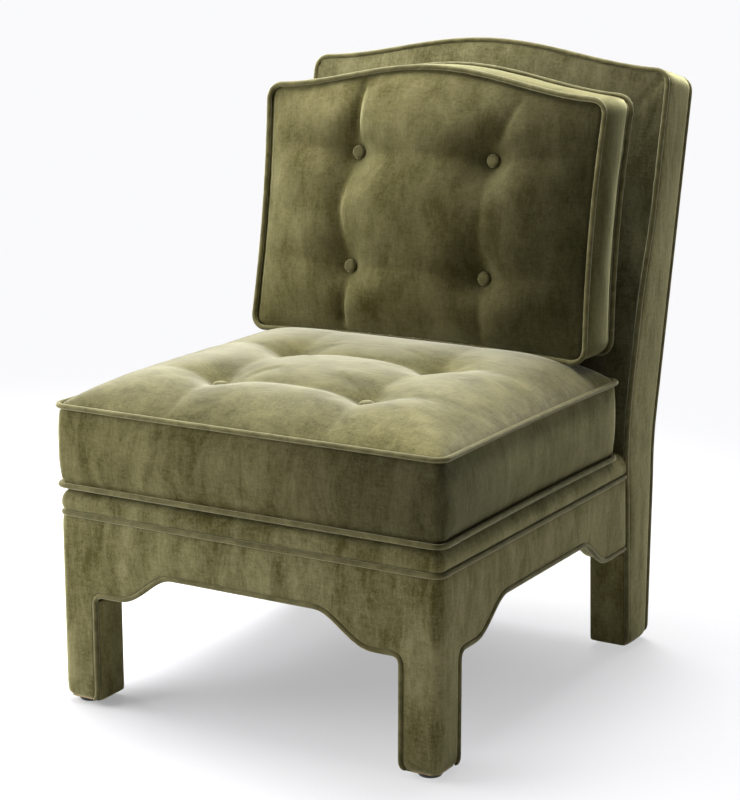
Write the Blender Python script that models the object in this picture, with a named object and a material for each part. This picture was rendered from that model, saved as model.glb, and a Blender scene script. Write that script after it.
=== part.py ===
"""Armless slipper chair in velvet, with a loose tufted seat cushion and a loose tufted back cushion.

Metres, +Z up. The chair faces -Y and stands on z = 0, with its box centred on the origin.
"""

import math

import bmesh
import bpy
from mathutils import Vector
from mathutils.bvhtree import BVHTree

# Clearance between pieces that touch, how far cutters go past, and the run-up for laying a piece on others
FIT = 0.0003
CUT_PAST = 0.02
APPROACH = 0.08
TOUCH_PITCH = 0.008

# Velvet covers with their wadding, and the welt cord sewn into their seams
COVER = 0.005
WELT_RADIUS = 0.004
APRON_WELT_PROUD = 0.001

# Base, measured over the velvet
BASE_WIDTH = 0.626
BASE_CORNER = 0.014
FOOT_HEIGHT = 0.008
GLIDE_RADIUS = 0.017
LEG_WIDTH = 0.0545
SHOULDER_HEIGHT = 0.176
SHOULDER_RUN = 0.048
REAR_SHOULDER_RUN = 0.060
LEG_FILLET = 0.016
OGEE_RUN = 0.092
OGEE_RISE = 0.045
BASE_WELT_HEIGHT = 0.288
DECK_RISE = 0.037
DECK_ROLL_SHARE = 0.6
DECK_ROLL_STEPS = 5
TIGHT_CORNER = 0.003

# Frame timber, webbing and dust cover
RAIL = 0.022
SEAT_BACK_RAIL = 0.030
SEAT_BACK_RAIL_HEIGHT = 0.064
BLOCK_LEG = 0.085
BLOCK_HEIGHT = 0.045
STRAP_COUNT = 4
STRAP_WIDTH = 0.065
STRAP_SPREAD = 0.201
STRAP = 0.0025
STRAP_LAP = 0.016
DUST_COVER = 0.0012
DUST_COVER_HEIGHT = 0.226

# Back, measured along its front face: legs kick back below the seat, and the back rakes above it
BACK_PROUD = 0.002
BACK_THICKNESS = 0.096
BACK_SETBACK = 0.613
FOOT_TAPER = 0.020
LEG_KICK = math.radians(3.35)
BACK_RAKE = math.radians(11.85)
BEND_START = 0.270
BEND_LENGTH = 0.120
BEND_STEPS = 5
SHOULDER_REACH = 0.911
CREST_RISE = 0.037
BACK_CORNER = 0.022
CREST_RAIL = 0.070
BACK_FOAM = 0.025
BACK_BOARD = 0.009
BACK_CROWN = 0.018
BACK_CROWN_POWER = 3

# Seat cushion, seam to seam
SEAT_WIDTH = 0.6275
SEAT_DEPTH = 0.548
SEAT_BOXING = 0.1105
SEAT_SETBACK = 0.0015
SEAT_CORNER = 0.014
SEAT_CROWN = 0.054
SEAT_REAR_POWER = 8.0
SEAT_DRAW = 0.004
SEAT_TUFT_HEIGHT = 0.025
SEAT_TUFT_SPAN = 0.244
SEAT_TUFT_FRONT = 0.1355
SEAT_TUFT_PITCH = 0.193
SEAT_CHANNEL = 0.006

# Back cushion, seam to seam, in its own leaning plane
PILLOW_WIDTH = 0.578
PILLOW_HEIGHT = 0.382
PILLOW_RISE = 0.037
PILLOW_BOXING = 0.088
PILLOW_LEAN = math.radians(8.5)
PILLOW_CORNER = 0.020
PILLOW_CROWN = 0.040
PILLOW_REAR_CROWN = 0.045
PILLOW_DRAW = 0.007
PILLOW_BOW = 0.008
PILLOW_SLUMP = 0.012
PILLOW_TUFT_HEIGHT = 0.002
PILLOW_TUFT_SPAN = 0.234
PILLOW_TUFT_LOW = 0.110
PILLOW_TUFT_PITCH = 0.1765
PILLOW_CHANNEL = 0.010

# Both cushions
BOXING_BULGE = 0.005
BOXING_LINE = 0.5
CROWN_POWER = 3.4
TUFT_FLAT = 0.0125
TUFT_SPREAD = 0.042
CHANNEL_WIDTH = 0.022
BUTTON_RADIUS = 0.0105
BUTTON_HEIGHT = 0.008
CORE_INSET = 0.016
CORE_SKIN = 0.004
ZIP_LENGTH = 0.400
ZIP_SLOT = 0.004
SLIDER_LENGTH = 0.010
SLIDER_WIDTH = 0.009
SLIDER = 0.003
PULL_LENGTH = 0.018
PULL_WIDTH = 0.005

# Seats of the welts: at a corner, and in the diagonal outside a cushion's seam
WELT_SINK = COVER + FIT - (WELT_RADIUS + FIT) / math.sqrt(2)
WELT_NOTCH = WELT_SINK + WELT_RADIUS + FIT
WELT_OUT = (WELT_RADIUS + FIT) / math.sqrt(2)

# Heights and half-widths that several pieces share
HALF = BASE_WIDTH / 2
BACK_WIDTH = BASE_WIDTH + 2 * BACK_PROUD
DECK_HEIGHT = BASE_WELT_HEIGHT + DECK_RISE
DECK_ROLL = DECK_ROLL_SHARE * DECK_RISE
LEG_INNER = HALF - LEG_WIDTH
TIMBER_FACE = COVER + FIT
RAIL_INNER = HALF - TIMBER_FACE - RAIL
STRAP_PITCH = STRAP_SPREAD * 2 * RAIL_INNER
SOLE = FOOT_HEIGHT + FIT
RAIL_TOP = BASE_WELT_HEIGHT - WELT_RADIUS - FIT
DECK_BOTTOM = BASE_WELT_HEIGHT + WELT_RADIUS + FIT
SLEEVE = 2 * WELT_RADIUS
SLEEVE_TOP = SHOULDER_HEIGHT - LEG_FILLET - FIT
SLEEVE_SETBACK = 2 * WELT_RADIUS - APRON_WELT_PROUD + FIT
CREST_BOTTOM = SHOULDER_REACH - CREST_RAIL
FOAM_REAR = TIMBER_FACE + BACK_FOAM
FOAM_BACKING = FOAM_REAR + FIT
TIMBER_REAR = BACK_THICKNESS - TIMBER_FACE


def back_line(reach):
    """(y, z, lean) on the front face of the back, this far up it, from its front edge on the floor."""
    low = min(reach, BEND_START)
    rate = (LEG_KICK + BACK_RAKE) / BEND_LENGTH
    turned = min(max(reach - BEND_START, 0), BEND_LENGTH)
    angle = rate * turned - LEG_KICK
    straight = max(reach - BEND_START - BEND_LENGTH, 0)
    y = (math.cos(LEG_KICK) - math.cos(angle)) / rate - math.tan(LEG_KICK) * low
    z = (math.sin(angle) + math.sin(LEG_KICK)) / rate + low
    y += math.sin(BACK_RAKE) * straight
    z += math.cos(BACK_RAKE) * straight
    return y, z, max(angle, 0)


def rear_reach():
    """How far the rear welt's crest lies behind the back's front edge on the floor."""
    y = back_line(SHOULDER_REACH + CREST_RISE - WELT_SINK)[0]
    return y + math.cos(BACK_RAKE) * (BACK_THICKNESS - WELT_SINK) + WELT_RADIUS


FRONT_PROUD = max(2 * WELT_RADIUS - COVER, WELT_RADIUS + WELT_OUT - SEAT_SETBACK)
FRONT = FRONT_PROUD - (FRONT_PROUD + BACK_SETBACK + rear_reach()) / 2
BACK_FOOT = FRONT + BACK_SETBACK
UPRIGHT_REACH = BEND_START + BEND_LENGTH * LEG_KICK / (LEG_KICK + BACK_RAKE)
BASE_REAR = BACK_FOOT + back_line(UPRIGHT_REACH)[0] - WELT_RADIUS


def on_back(x, depth, reach):
    """Point of the back: x across, depth behind its front face, reach up that face from the floor."""
    y, z, lean = back_line(reach)
    if depth > BACK_THICKNESS / 2:
        depth -= FOOT_TAPER * max(1 - reach / BEND_START, 0)
    return Vector((x, BACK_FOOT + y + math.cos(lean) * depth, z - math.sin(lean) * depth))


def post_face(height):
    """y of the back posts' front faces, at a height below the bend."""
    return on_back(0, TIMBER_FACE, height).y


REAR_RAIL_FACE = post_face(RAIL_TOP)


def finish(name, colour, roughness, metallic=0.0):
    """Material of one finish."""
    material = bpy.data.materials.new(name)
    material.use_nodes = True
    shader = material.node_tree.nodes["Principled BSDF"]
    shader.inputs["Base Color"].default_value = (*colour, 1)
    shader.inputs["Roughness"].default_value = roughness
    shader.inputs["Metallic"].default_value = metallic
    return material


def collection(name):
    made = bpy.data.collections.new(name)
    bpy.context.scene.collection.children.link(made)
    return made


for leftover in list(bpy.data.objects):
    bpy.data.objects.remove(leftover, do_unlink=True)

CHAIR = collection("slipper_chair")
CUTTERS = collection("cutters")
VELVET = finish("olive_velvet", (0.155, 0.135, 0.055), 0.85)
WELTING = finish("olive_welt", (0.135, 0.116, 0.045), 0.85)
HARDWOOD = finish("hardwood", (0.42, 0.27, 0.14), 0.6)
PLYWOOD = finish("plywood", (0.55, 0.40, 0.24), 0.65)
FOAM = finish("foam", (0.78, 0.72, 0.55), 0.9)
WEBBING = finish("webbing", (0.06, 0.055, 0.05), 0.85)
CAMBRIC = finish("black_cambric", (0.015, 0.015, 0.015), 0.95)
NYLON = finish("black_nylon", (0.02, 0.02, 0.02), 0.45)
BRASS = finish("zip_brass", (0.45, 0.33, 0.14), 0.35, 1.0)


def place(name, bm, material, parent=None, group=None):
    """Turns a bmesh into a named object in the chair."""
    bmesh.ops.recalc_face_normals(bm, faces=bm.faces[:])
    if bm.calc_volume(signed=True) < 0:
        bmesh.ops.reverse_faces(bm, faces=bm.faces[:])
    mesh = bpy.data.meshes.new(name)
    bm.to_mesh(mesh)
    bm.free()
    obj = bpy.data.objects.new(name, mesh)
    (group or CHAIR).objects.link(obj)
    mesh.shade_smooth()
    mesh.set_sharp_from_angle(angle=math.radians(35))
    if material:
        mesh.materials.append(material)
    obj.parent = parent
    return obj


def cutter(name, bm, parent=None):
    obj = place(name, bm, None, parent, CUTTERS)
    obj.hide_render = True
    obj.display_type = "WIRE"
    return obj


def cut(obj, *tools):
    for tool in tools:
        modifier = obj.modifiers.new(tool.name, "BOOLEAN")
        modifier.operation = "DIFFERENCE"
        modifier.solver = "EXACT"
        modifier.object = tool


def box(low, high):
    """bmesh of a box between two corners."""
    bm = bmesh.new()
    bmesh.ops.create_cube(bm, size=1)
    low = Vector(low)
    size = Vector(high) - low
    for vertex in bm.verts:
        vertex.co = [low[i] + size[i] * (vertex.co[i] + 0.5) for i in range(3)]
    return bm


def evaluated_mesh(obj):
    graph = bpy.context.evaluated_depsgraph_get()
    return bpy.data.meshes.new_from_object(obj.evaluated_get(graph))


def prism(outline, low, high, plane):
    """bmesh of a flat outline in the XY, XZ or YZ plane, drawn out between two places on the third axis."""
    curve = bpy.data.curves.new("outline", "CURVE")
    curve.dimensions = "2D"
    curve.fill_mode = "BOTH"
    curve.extrude = (high - low) / 2
    spline = curve.splines.new("POLY")
    spline.points.add(len(outline) - 1)
    spline.use_cyclic_u = True
    for point, (across, up) in zip(spline.points, outline):
        point.co = (across, up, 0, 1)
    obj = bpy.data.objects.new("outline", curve)
    CUTTERS.objects.link(obj)
    bm = bmesh.new()
    bm.from_mesh(evaluated_mesh(obj))
    bpy.data.objects.remove(obj)
    bmesh.ops.remove_doubles(bm, verts=bm.verts[:], dist=1e-6)
    middle = (low + high) / 2
    for vertex in bm.verts:
        a, b, c = vertex.co.x, vertex.co.y, vertex.co.z + middle
        vertex.co = {"XY": (a, b, c), "XZ": (a, c, b), "YZ": (c, a, b)}[plane]
    return bm


def bend_reaches():
    return [BEND_START + BEND_LENGTH * i / BEND_STEPS for i in range(BEND_STEPS + 1)]


def bent(bm):
    """Lays a bmesh made flat, with x across, y as depth and z as reach, along the back's bent line."""
    for reach in bend_reaches():
        geometry = bm.verts[:] + bm.edges[:] + bm.faces[:]
        bmesh.ops.bisect_plane(bm, geom=geometry, plane_co=(0, 0, reach), plane_no=(0, 0, 1), dist=1e-6)
    for vertex in bm.verts:
        vertex.co = on_back(*vertex.co)
    return bm


def bent_path(outline, depth):
    """Points along the back for an outline of (x, reach), with extra points where the back bends."""
    path = []
    for (x, reach), (next_x, next_reach) in zip(outline, outline[1:]):
        path.append(on_back(x, depth, reach))
        between = [r for r in bend_reaches() if min(reach, next_reach) < r < max(reach, next_reach)]
        for r in sorted(between, reverse=next_reach < reach):
            share = (r - reach) / (next_reach - reach)
            path.append(on_back(x + share * (next_x - x), depth, r))
    path.append(on_back(outline[-1][0], depth, outline[-1][1]))
    return path


def offset_path(points, distance, closed=False):
    """Moves a line of 2D points to its right by a distance, with mitred corners."""
    moved = []
    count = len(points)
    for i, point in enumerate(points):
        here = Vector(point)
        before = Vector(points[i - 1]) if closed or i else None
        after = Vector(points[(i + 1) % count]) if closed or i < count - 1 else None
        into = (here - before).normalized() if before else (after - here).normalized()
        out = (after - here).normalized() if after else into
        along = (into + out).normalized()
        right = Vector((along.y, -along.x))
        moved.append(here + right * distance / max(along.dot(out), 0.5))
    return moved


def cord(name, points, parent=None, closed=False):
    """Welt cord along a line of points."""
    curve = bpy.data.curves.new(name, "CURVE")
    curve.dimensions = "3D"
    curve.bevel_depth = WELT_RADIUS
    curve.bevel_resolution = 1
    curve.use_fill_caps = True
    spline = curve.splines.new("POLY")
    spline.points.add(len(points) - 1)
    spline.use_cyclic_u = closed
    for place_on, point in zip(spline.points, points):
        place_on.co = (*point, 1)
    obj = bpy.data.objects.new(name, curve)
    CHAIR.objects.link(obj)
    curve.materials.append(WELTING)
    obj.parent = parent
    return obj


def apron_edge(left, right, right_leg=True):
    """Seam along an apron's lower edge: up a leg, over its shoulder, ogee, level middle, and back."""

    def end(run, leg):
        corner = [(0, SHOULDER_HEIGHT)]
        if leg:
            turns = [math.pi / 8 * i for i in range(5)]
            corner = [(0, SOLE)] + [
                (LEG_FILLET * (1 - math.cos(a)), SHOULDER_HEIGHT - LEG_FILLET * (1 - math.sin(a)))
                for a in turns
            ]
        steps = [i / 8 for i in range(9)]
        return corner + [
            (run + OGEE_RUN * k, SHOULDER_HEIGHT + OGEE_RISE * (1 - math.cos(math.pi * k)) / 2) for k in steps
        ]

    first = [(left + run, height) for run, height in end(SHOULDER_RUN, True)]
    last_run = SHOULDER_RUN if right_leg else REAR_SHOULDER_RUN
    last = [(right - run, height) for run, height in end(last_run, right_leg)]
    return first + last[::-1]


FRONT_EDGE = apron_edge(-LEG_INNER, LEG_INNER)
SIDE_EDGE = apron_edge(FRONT + LEG_WIDTH, BASE_REAR, right_leg=False)


def crest(x):
    return SHOULDER_REACH + CREST_RISE * (1 + math.cos(math.pi * x / (BACK_WIDTH / 2))) / 2


def back_outline(inset):
    """(x, reach) from the left foot up, round the shoulders, over the crest and down to the right foot."""
    half = BACK_WIDTH / 2 - inset
    radius = BACK_CORNER - inset
    level = half - radius
    top = crest(level) - inset
    right = [(level * i / 7, crest(level * i / 7) - inset) for i in range(7)]
    for i in range(5):
        turn = math.pi / 8 * i
        right.append((level + radius * math.sin(turn), top - radius * (1 - math.cos(turn))))
    right.append((half, SOLE))
    return [(-x, reach) for x, reach in right[:0:-1]] + right


def base_outline(inset, rear=BASE_REAR):
    """(x, y) from the rear of the left side round the front to the rear of the right side."""
    half = HALF - inset
    radius = max(BASE_CORNER - inset, TIGHT_CORNER)
    right = [(half, rear)]
    for i in range(6):
        turn = math.pi / 10 * i
        right.append((half - radius * (1 - math.cos(turn)), FRONT + inset + radius * (1 - math.sin(turn))))
    return [(-x, y) for x, y in right] + right[::-1]


def sides(name):
    """The right and left copies of a piece: name, and the sign of its x."""
    return ((f"{name}_right", 1), (f"{name}_left", -1))


def mirrored(outline, sign):
    return [(sign * x, y) for x, y in outline]


def span(low, high, sign):
    """A stretch of x on one side of the chair, lower end first."""
    return sorted((sign * low, sign * high))


# Hardwood frame
for name, sign in sides("front_leg"):
    low, high = span(LEG_INNER + FIT, HALF - TIMBER_FACE, sign)
    leg = box((low, FRONT + TIMBER_FACE, SOLE), (high, FRONT + LEG_WIDTH - FIT, RAIL_TOP))
    upright = [edge for edge in leg.edges if abs(edge.verts[0].co.z - edge.verts[1].co.z) > FIT]
    bmesh.ops.bevel(leg, geom=upright, offset=BASE_CORNER - COVER, segments=1, affect="EDGES")
    place(name, leg, HARDWOOD)

front_rail = [(-LEG_INNER, RAIL_TOP)] + FRONT_EDGE[1:-1] + [(LEG_INNER, RAIL_TOP)]
rail_front = FRONT + TIMBER_FACE
place("front_rail", prism(front_rail, rail_front, rail_front + RAIL, "XZ"), HARDWOOD)

side_rail = [(FRONT + LEG_WIDTH, RAIL_TOP)] + SIDE_EDGE[1:]
side_rail += [(post_face(SHOULDER_HEIGHT) - FIT, SHOULDER_HEIGHT), (REAR_RAIL_FACE - FIT, RAIL_TOP)]
for name, sign in sides("side_rail"):
    low, high = span(RAIL_INNER, HALF - TIMBER_FACE, sign)
    place(name, prism(side_rail, low, high, "YZ"), HARDWOOD)

seat_back_rail = box(
    (-LEG_INNER, REAR_RAIL_FACE, RAIL_TOP - SEAT_BACK_RAIL_HEIGHT),
    (LEG_INNER, REAR_RAIL_FACE + SEAT_BACK_RAIL, RAIL_TOP),
)
place("seat_back_rail", seat_back_rail, HARDWOOD)
place("rear_apron_rail", bent(prism(front_rail, TIMBER_REAR - RAIL, TIMBER_REAR, "XZ")), HARDWOOD)

post = [
    (TIMBER_FACE, SOLE),
    (TIMBER_FACE, DECK_BOTTOM - FIT),
    (FOAM_BACKING, DECK_BOTTOM - FIT),
    (FOAM_BACKING, CREST_BOTTOM - FIT),
    (TIMBER_REAR, CREST_BOTTOM - FIT),
    (TIMBER_REAR, SOLE),
]
for name, sign in sides("back_post"):
    low, high = span(LEG_INNER + FIT, BACK_WIDTH / 2 - TIMBER_FACE, sign)
    place(name, bent(prism(post, low, high, "YZ")), HARDWOOD)

crest_half = BACK_WIDTH / 2 - TIMBER_FACE
crest_rail = [point for point in back_outline(TIMBER_FACE) if point[1] > CREST_BOTTOM]
crest_rail = [(-crest_half, CREST_BOTTOM)] + crest_rail + [(crest_half, CREST_BOTTOM)]
place("crest_rail", bent(prism(crest_rail, FOAM_BACKING, TIMBER_REAR, "XZ")), HARDWOOD)

rail_rear = rail_front + RAIL + FIT
leg_rear = FRONT + LEG_WIDTH
front_block = [
    (RAIL_INNER - BLOCK_LEG, rail_rear),
    (LEG_INNER, rail_rear),
    (LEG_INNER, leg_rear),
    (RAIL_INNER - FIT, leg_rear),
    (RAIL_INNER - FIT, rail_rear + BLOCK_LEG),
]
rear_block = [
    (RAIL_INNER - FIT, REAR_RAIL_FACE - FIT),
    (RAIL_INNER - BLOCK_LEG, REAR_RAIL_FACE - FIT),
    (RAIL_INNER - FIT, REAR_RAIL_FACE - BLOCK_LEG),
]
for block, outline in (("front_corner_block", front_block), ("rear_corner_block", rear_block)):
    for name, sign in sides(block):
        place(name, prism(mirrored(outline, sign), RAIL_TOP - BLOCK_HEIGHT, RAIL_TOP, "XY"), HARDWOOD)

# Plywood board and foam of the back
back_board = box((-LEG_INNER, FOAM_BACKING, DECK_BOTTOM), (LEG_INNER, FOAM_BACKING + BACK_BOARD, CREST_BOTTOM - FIT))
place("back_board", bent(back_board), PLYWOOD)


def back_panel(front, rear):
    """Crowned panel on the front of the back: front and rear are depths at (x, reach, crown)."""
    columns = back_outline(WELT_NOTCH)[1:-1]
    half = columns[-1][0]
    rows = (0, 0.03, 0.09, 0.2, 0.35, 0.5, 0.65, 0.8, 0.91, 0.97, 1)
    bm = bmesh.new()
    bmesh.ops.create_grid(bm, x_segments=len(columns) - 1, y_segments=len(rows) - 1, size=1)

    def laid(vertex):
        x, top = columns[round((vertex.co.x + 1) / 2 * (len(columns) - 1))]
        share = rows[round((vertex.co.y + 1) / 2 * (len(rows) - 1))]
        hollow = abs(x / half) ** BACK_CROWN_POWER
        fall = abs(2 * share - 1) ** BACK_CROWN_POWER
        crown = BACK_CROWN * (1 - hollow) * (1 - fall)
        return x, crown, DECK_BOTTOM + share * (top - DECK_BOTTOM)

    face = bm.faces[:]
    for vertex in bm.verts:
        vertex.co = laid(vertex)
    raised = bmesh.ops.extrude_face_region(bm, geom=face)["geom"]
    behind = {item for item in raised if isinstance(item, bmesh.types.BMVert)}
    for vertex in bm.verts:
        x, crown, reach = vertex.co
        vertex.co = (x, rear(crown) if vertex in behind else front(crown), reach)
    return bent(bm)


place("back_foam", back_panel(lambda crown: TIMBER_FACE - crown, lambda crown: FOAM_REAR), FOAM)

# Webbing, deck pad and dust cover
for i in range(STRAP_COUNT):
    middle = (i - (STRAP_COUNT - 1) / 2) * STRAP_PITCH
    strap = box(
        (middle - STRAP_WIDTH / 2, rail_rear - STRAP_LAP, RAIL_TOP + FIT),
        (middle + STRAP_WIDTH / 2, REAR_RAIL_FACE + STRAP_LAP, RAIL_TOP + FIT + STRAP),
    )
    place(f"webbing_strap_{i + 1}", strap, WEBBING)


def deck_block(inset, bottom):
    """bmesh of the deck with a roll along its front and side edges, this far inside its outer face."""
    levels = [(inset, bottom)]
    radius = DECK_ROLL - inset
    for step in range(DECK_ROLL_STEPS + 1):
        turn = math.pi / 2 * step / DECK_ROLL_STEPS
        levels.append((DECK_ROLL - radius * math.cos(turn), DECK_HEIGHT - DECK_ROLL + radius * math.sin(turn)))
    bm = bmesh.new()
    rings = []
    for level, height in levels:
        outline = base_outline(level, BASE_REAR - inset)
        rings.append([bm.verts.new((x, y, height)) for x, y in outline])
    count = len(rings[0])
    for lower, upper in zip(rings, rings[1:]):
        for i in range(count):
            following = (i + 1) % count
            bm.faces.new((lower[i], lower[following], upper[following], upper[i]))
    bm.faces.new(rings[0])
    bm.faces.new(rings[-1])
    return bm


place("deck_pad", deck_block(TIMBER_FACE, RAIL_TOP + FIT + STRAP + FIT), FOAM)
chamfer = RAIL_INNER - LEG_INNER + leg_rear - (rail_rear - FIT)
dust_right = [
    (RAIL_INNER - chamfer, rail_rear),
    (RAIL_INNER - FIT, rail_rear - FIT + chamfer),
    (RAIL_INNER - FIT, REAR_RAIL_FACE - FIT),
]
dust_cover = dust_right + mirrored(dust_right, -1)[::-1]
place("dust_cover", prism(dust_cover, DUST_COVER_HEIGHT, DUST_COVER_HEIGHT + DUST_COVER, "XY"), CAMBRIC)

# Glides under the four legs
glide_x = HALF - LEG_WIDTH / 2
rear_foot = BACK_FOOT + (BACK_THICKNESS - FOOT_TAPER) / 2
for end, y in (("front", FRONT + LEG_WIDTH / 2), ("rear", rear_foot)):
    for name, sign in sides(f"{end}_glide"):
        glide = bmesh.new()
        bmesh.ops.create_cone(
            glide, cap_ends=True, segments=16, radius1=GLIDE_RADIUS, radius2=GLIDE_RADIUS, depth=FOOT_HEIGHT
        )
        obj = place(name, glide, NYLON)
        obj.location = (sign * glide_x, y, FOOT_HEIGHT / 2)

# Covers of the base
wrap = base_outline(0) + base_outline(COVER)[::-1]
base_cover = place("base_cover", prism(wrap, SOLE, RAIL_TOP, "XY"), VELVET)
below = -CUT_PAST
front_arch = [(-LEG_INNER, below)] + FRONT_EDGE[1:-1] + [(LEG_INNER, below)]
past_rear = BASE_REAR + CUT_PAST
side_arch = [(leg_rear, below)] + SIDE_EDGE[1:] + [(past_rear, SHOULDER_HEIGHT), (past_rear, below)]
cut(
    base_cover,
    cutter("front_arch", prism(front_arch, FRONT - CUT_PAST, rail_front, "XZ")),
    cutter("side_arches", prism(side_arch, -HALF - CUT_PAST, HALF + CUT_PAST, "YZ")),
)

deck_cover = place("deck_cover", deck_block(0, DECK_BOTTOM), VELVET)
cut(deck_cover, cutter("deck_hollow", deck_block(COVER, DECK_BOTTOM - CUT_PAST)))

front_sleeve = [
    (LEG_INNER, FRONT + SLEEVE_SETBACK),
    (LEG_INNER, leg_rear),
    (HALF - SLEEVE_SETBACK, leg_rear),
    (HALF - SLEEVE_SETBACK, leg_rear + SLEEVE),
    (LEG_INNER - SLEEVE, leg_rear + SLEEVE),
    (LEG_INNER - SLEEVE, FRONT + SLEEVE_SETBACK),
]
for name, sign in sides("front_leg_sleeve"):
    place(name, prism(mirrored(front_sleeve, sign), SOLE, SLEEVE_TOP, "XY"), VELVET)

rear_sleeve = [
    (LEG_INNER - SLEEVE, 0),
    (BACK_WIDTH / 2 - WELT_NOTCH, 0),
    (BACK_WIDTH / 2 - WELT_NOTCH, COVER),
    (LEG_INNER, COVER),
    (LEG_INNER, BACK_THICKNESS - SLEEVE_SETBACK),
    (LEG_INNER - SLEEVE, BACK_THICKNESS - SLEEVE_SETBACK),
]
for name, sign in sides("back_leg_sleeve"):
    place(name, bent(prism(mirrored(rear_sleeve, sign), SOLE, SLEEVE_TOP, "XY")), VELVET)

# Covers of the back
place("inside_back_cover", back_panel(lambda crown: -crown, lambda crown: COVER - crown), VELVET)
band = back_outline(0) + back_outline(COVER)[::-1]
place("back_boxing", bent(prism(band, WELT_NOTCH, BACK_THICKNESS - WELT_NOTCH, "XZ")), VELVET)
outside = back_outline(WELT_NOTCH) + FRONT_EDGE[::-1]
place("outside_back_cover", bent(prism(outside, BACK_THICKNESS - COVER, BACK_THICKNESS, "XZ")), VELVET)

# Welts of the frame
welt_line = [(x, y, BASE_WELT_HEIGHT) for x, y in base_outline(COVER - WELT_RADIUS)]
cord("base_welt", welt_line)
hung_front = offset_path(FRONT_EDGE, WELT_RADIUS + FIT)
hung_side = offset_path(SIDE_EDGE, WELT_RADIUS + FIT)
proud = WELT_RADIUS - APRON_WELT_PROUD
cord("front_apron_welt", [(x, FRONT + proud, z) for x, z in hung_front])
cord("rear_apron_welt", [on_back(x, BACK_THICKNESS - proud, z) for x, z in hung_front])
for name, sign in sides("side_apron_welt"):
    cord(name, [(sign * (HALF - proud), y, z) for y, z in hung_side])
cord("back_front_welt", bent_path(back_outline(WELT_SINK), WELT_SINK))
cord("back_rear_welt", bent_path(back_outline(WELT_SINK), BACK_THICKNESS - WELT_SINK))


def fullness(u, v, far_power=CROWN_POWER):
    """Share of a panel's crown, from 0 at its seam to 1 in the middle. A higher power keeps it full for longer."""
    along = far_power if v > 0 else CROWN_POWER
    return (1 - abs(u) ** CROWN_POWER) * (1 - abs(v) ** along)


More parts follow.
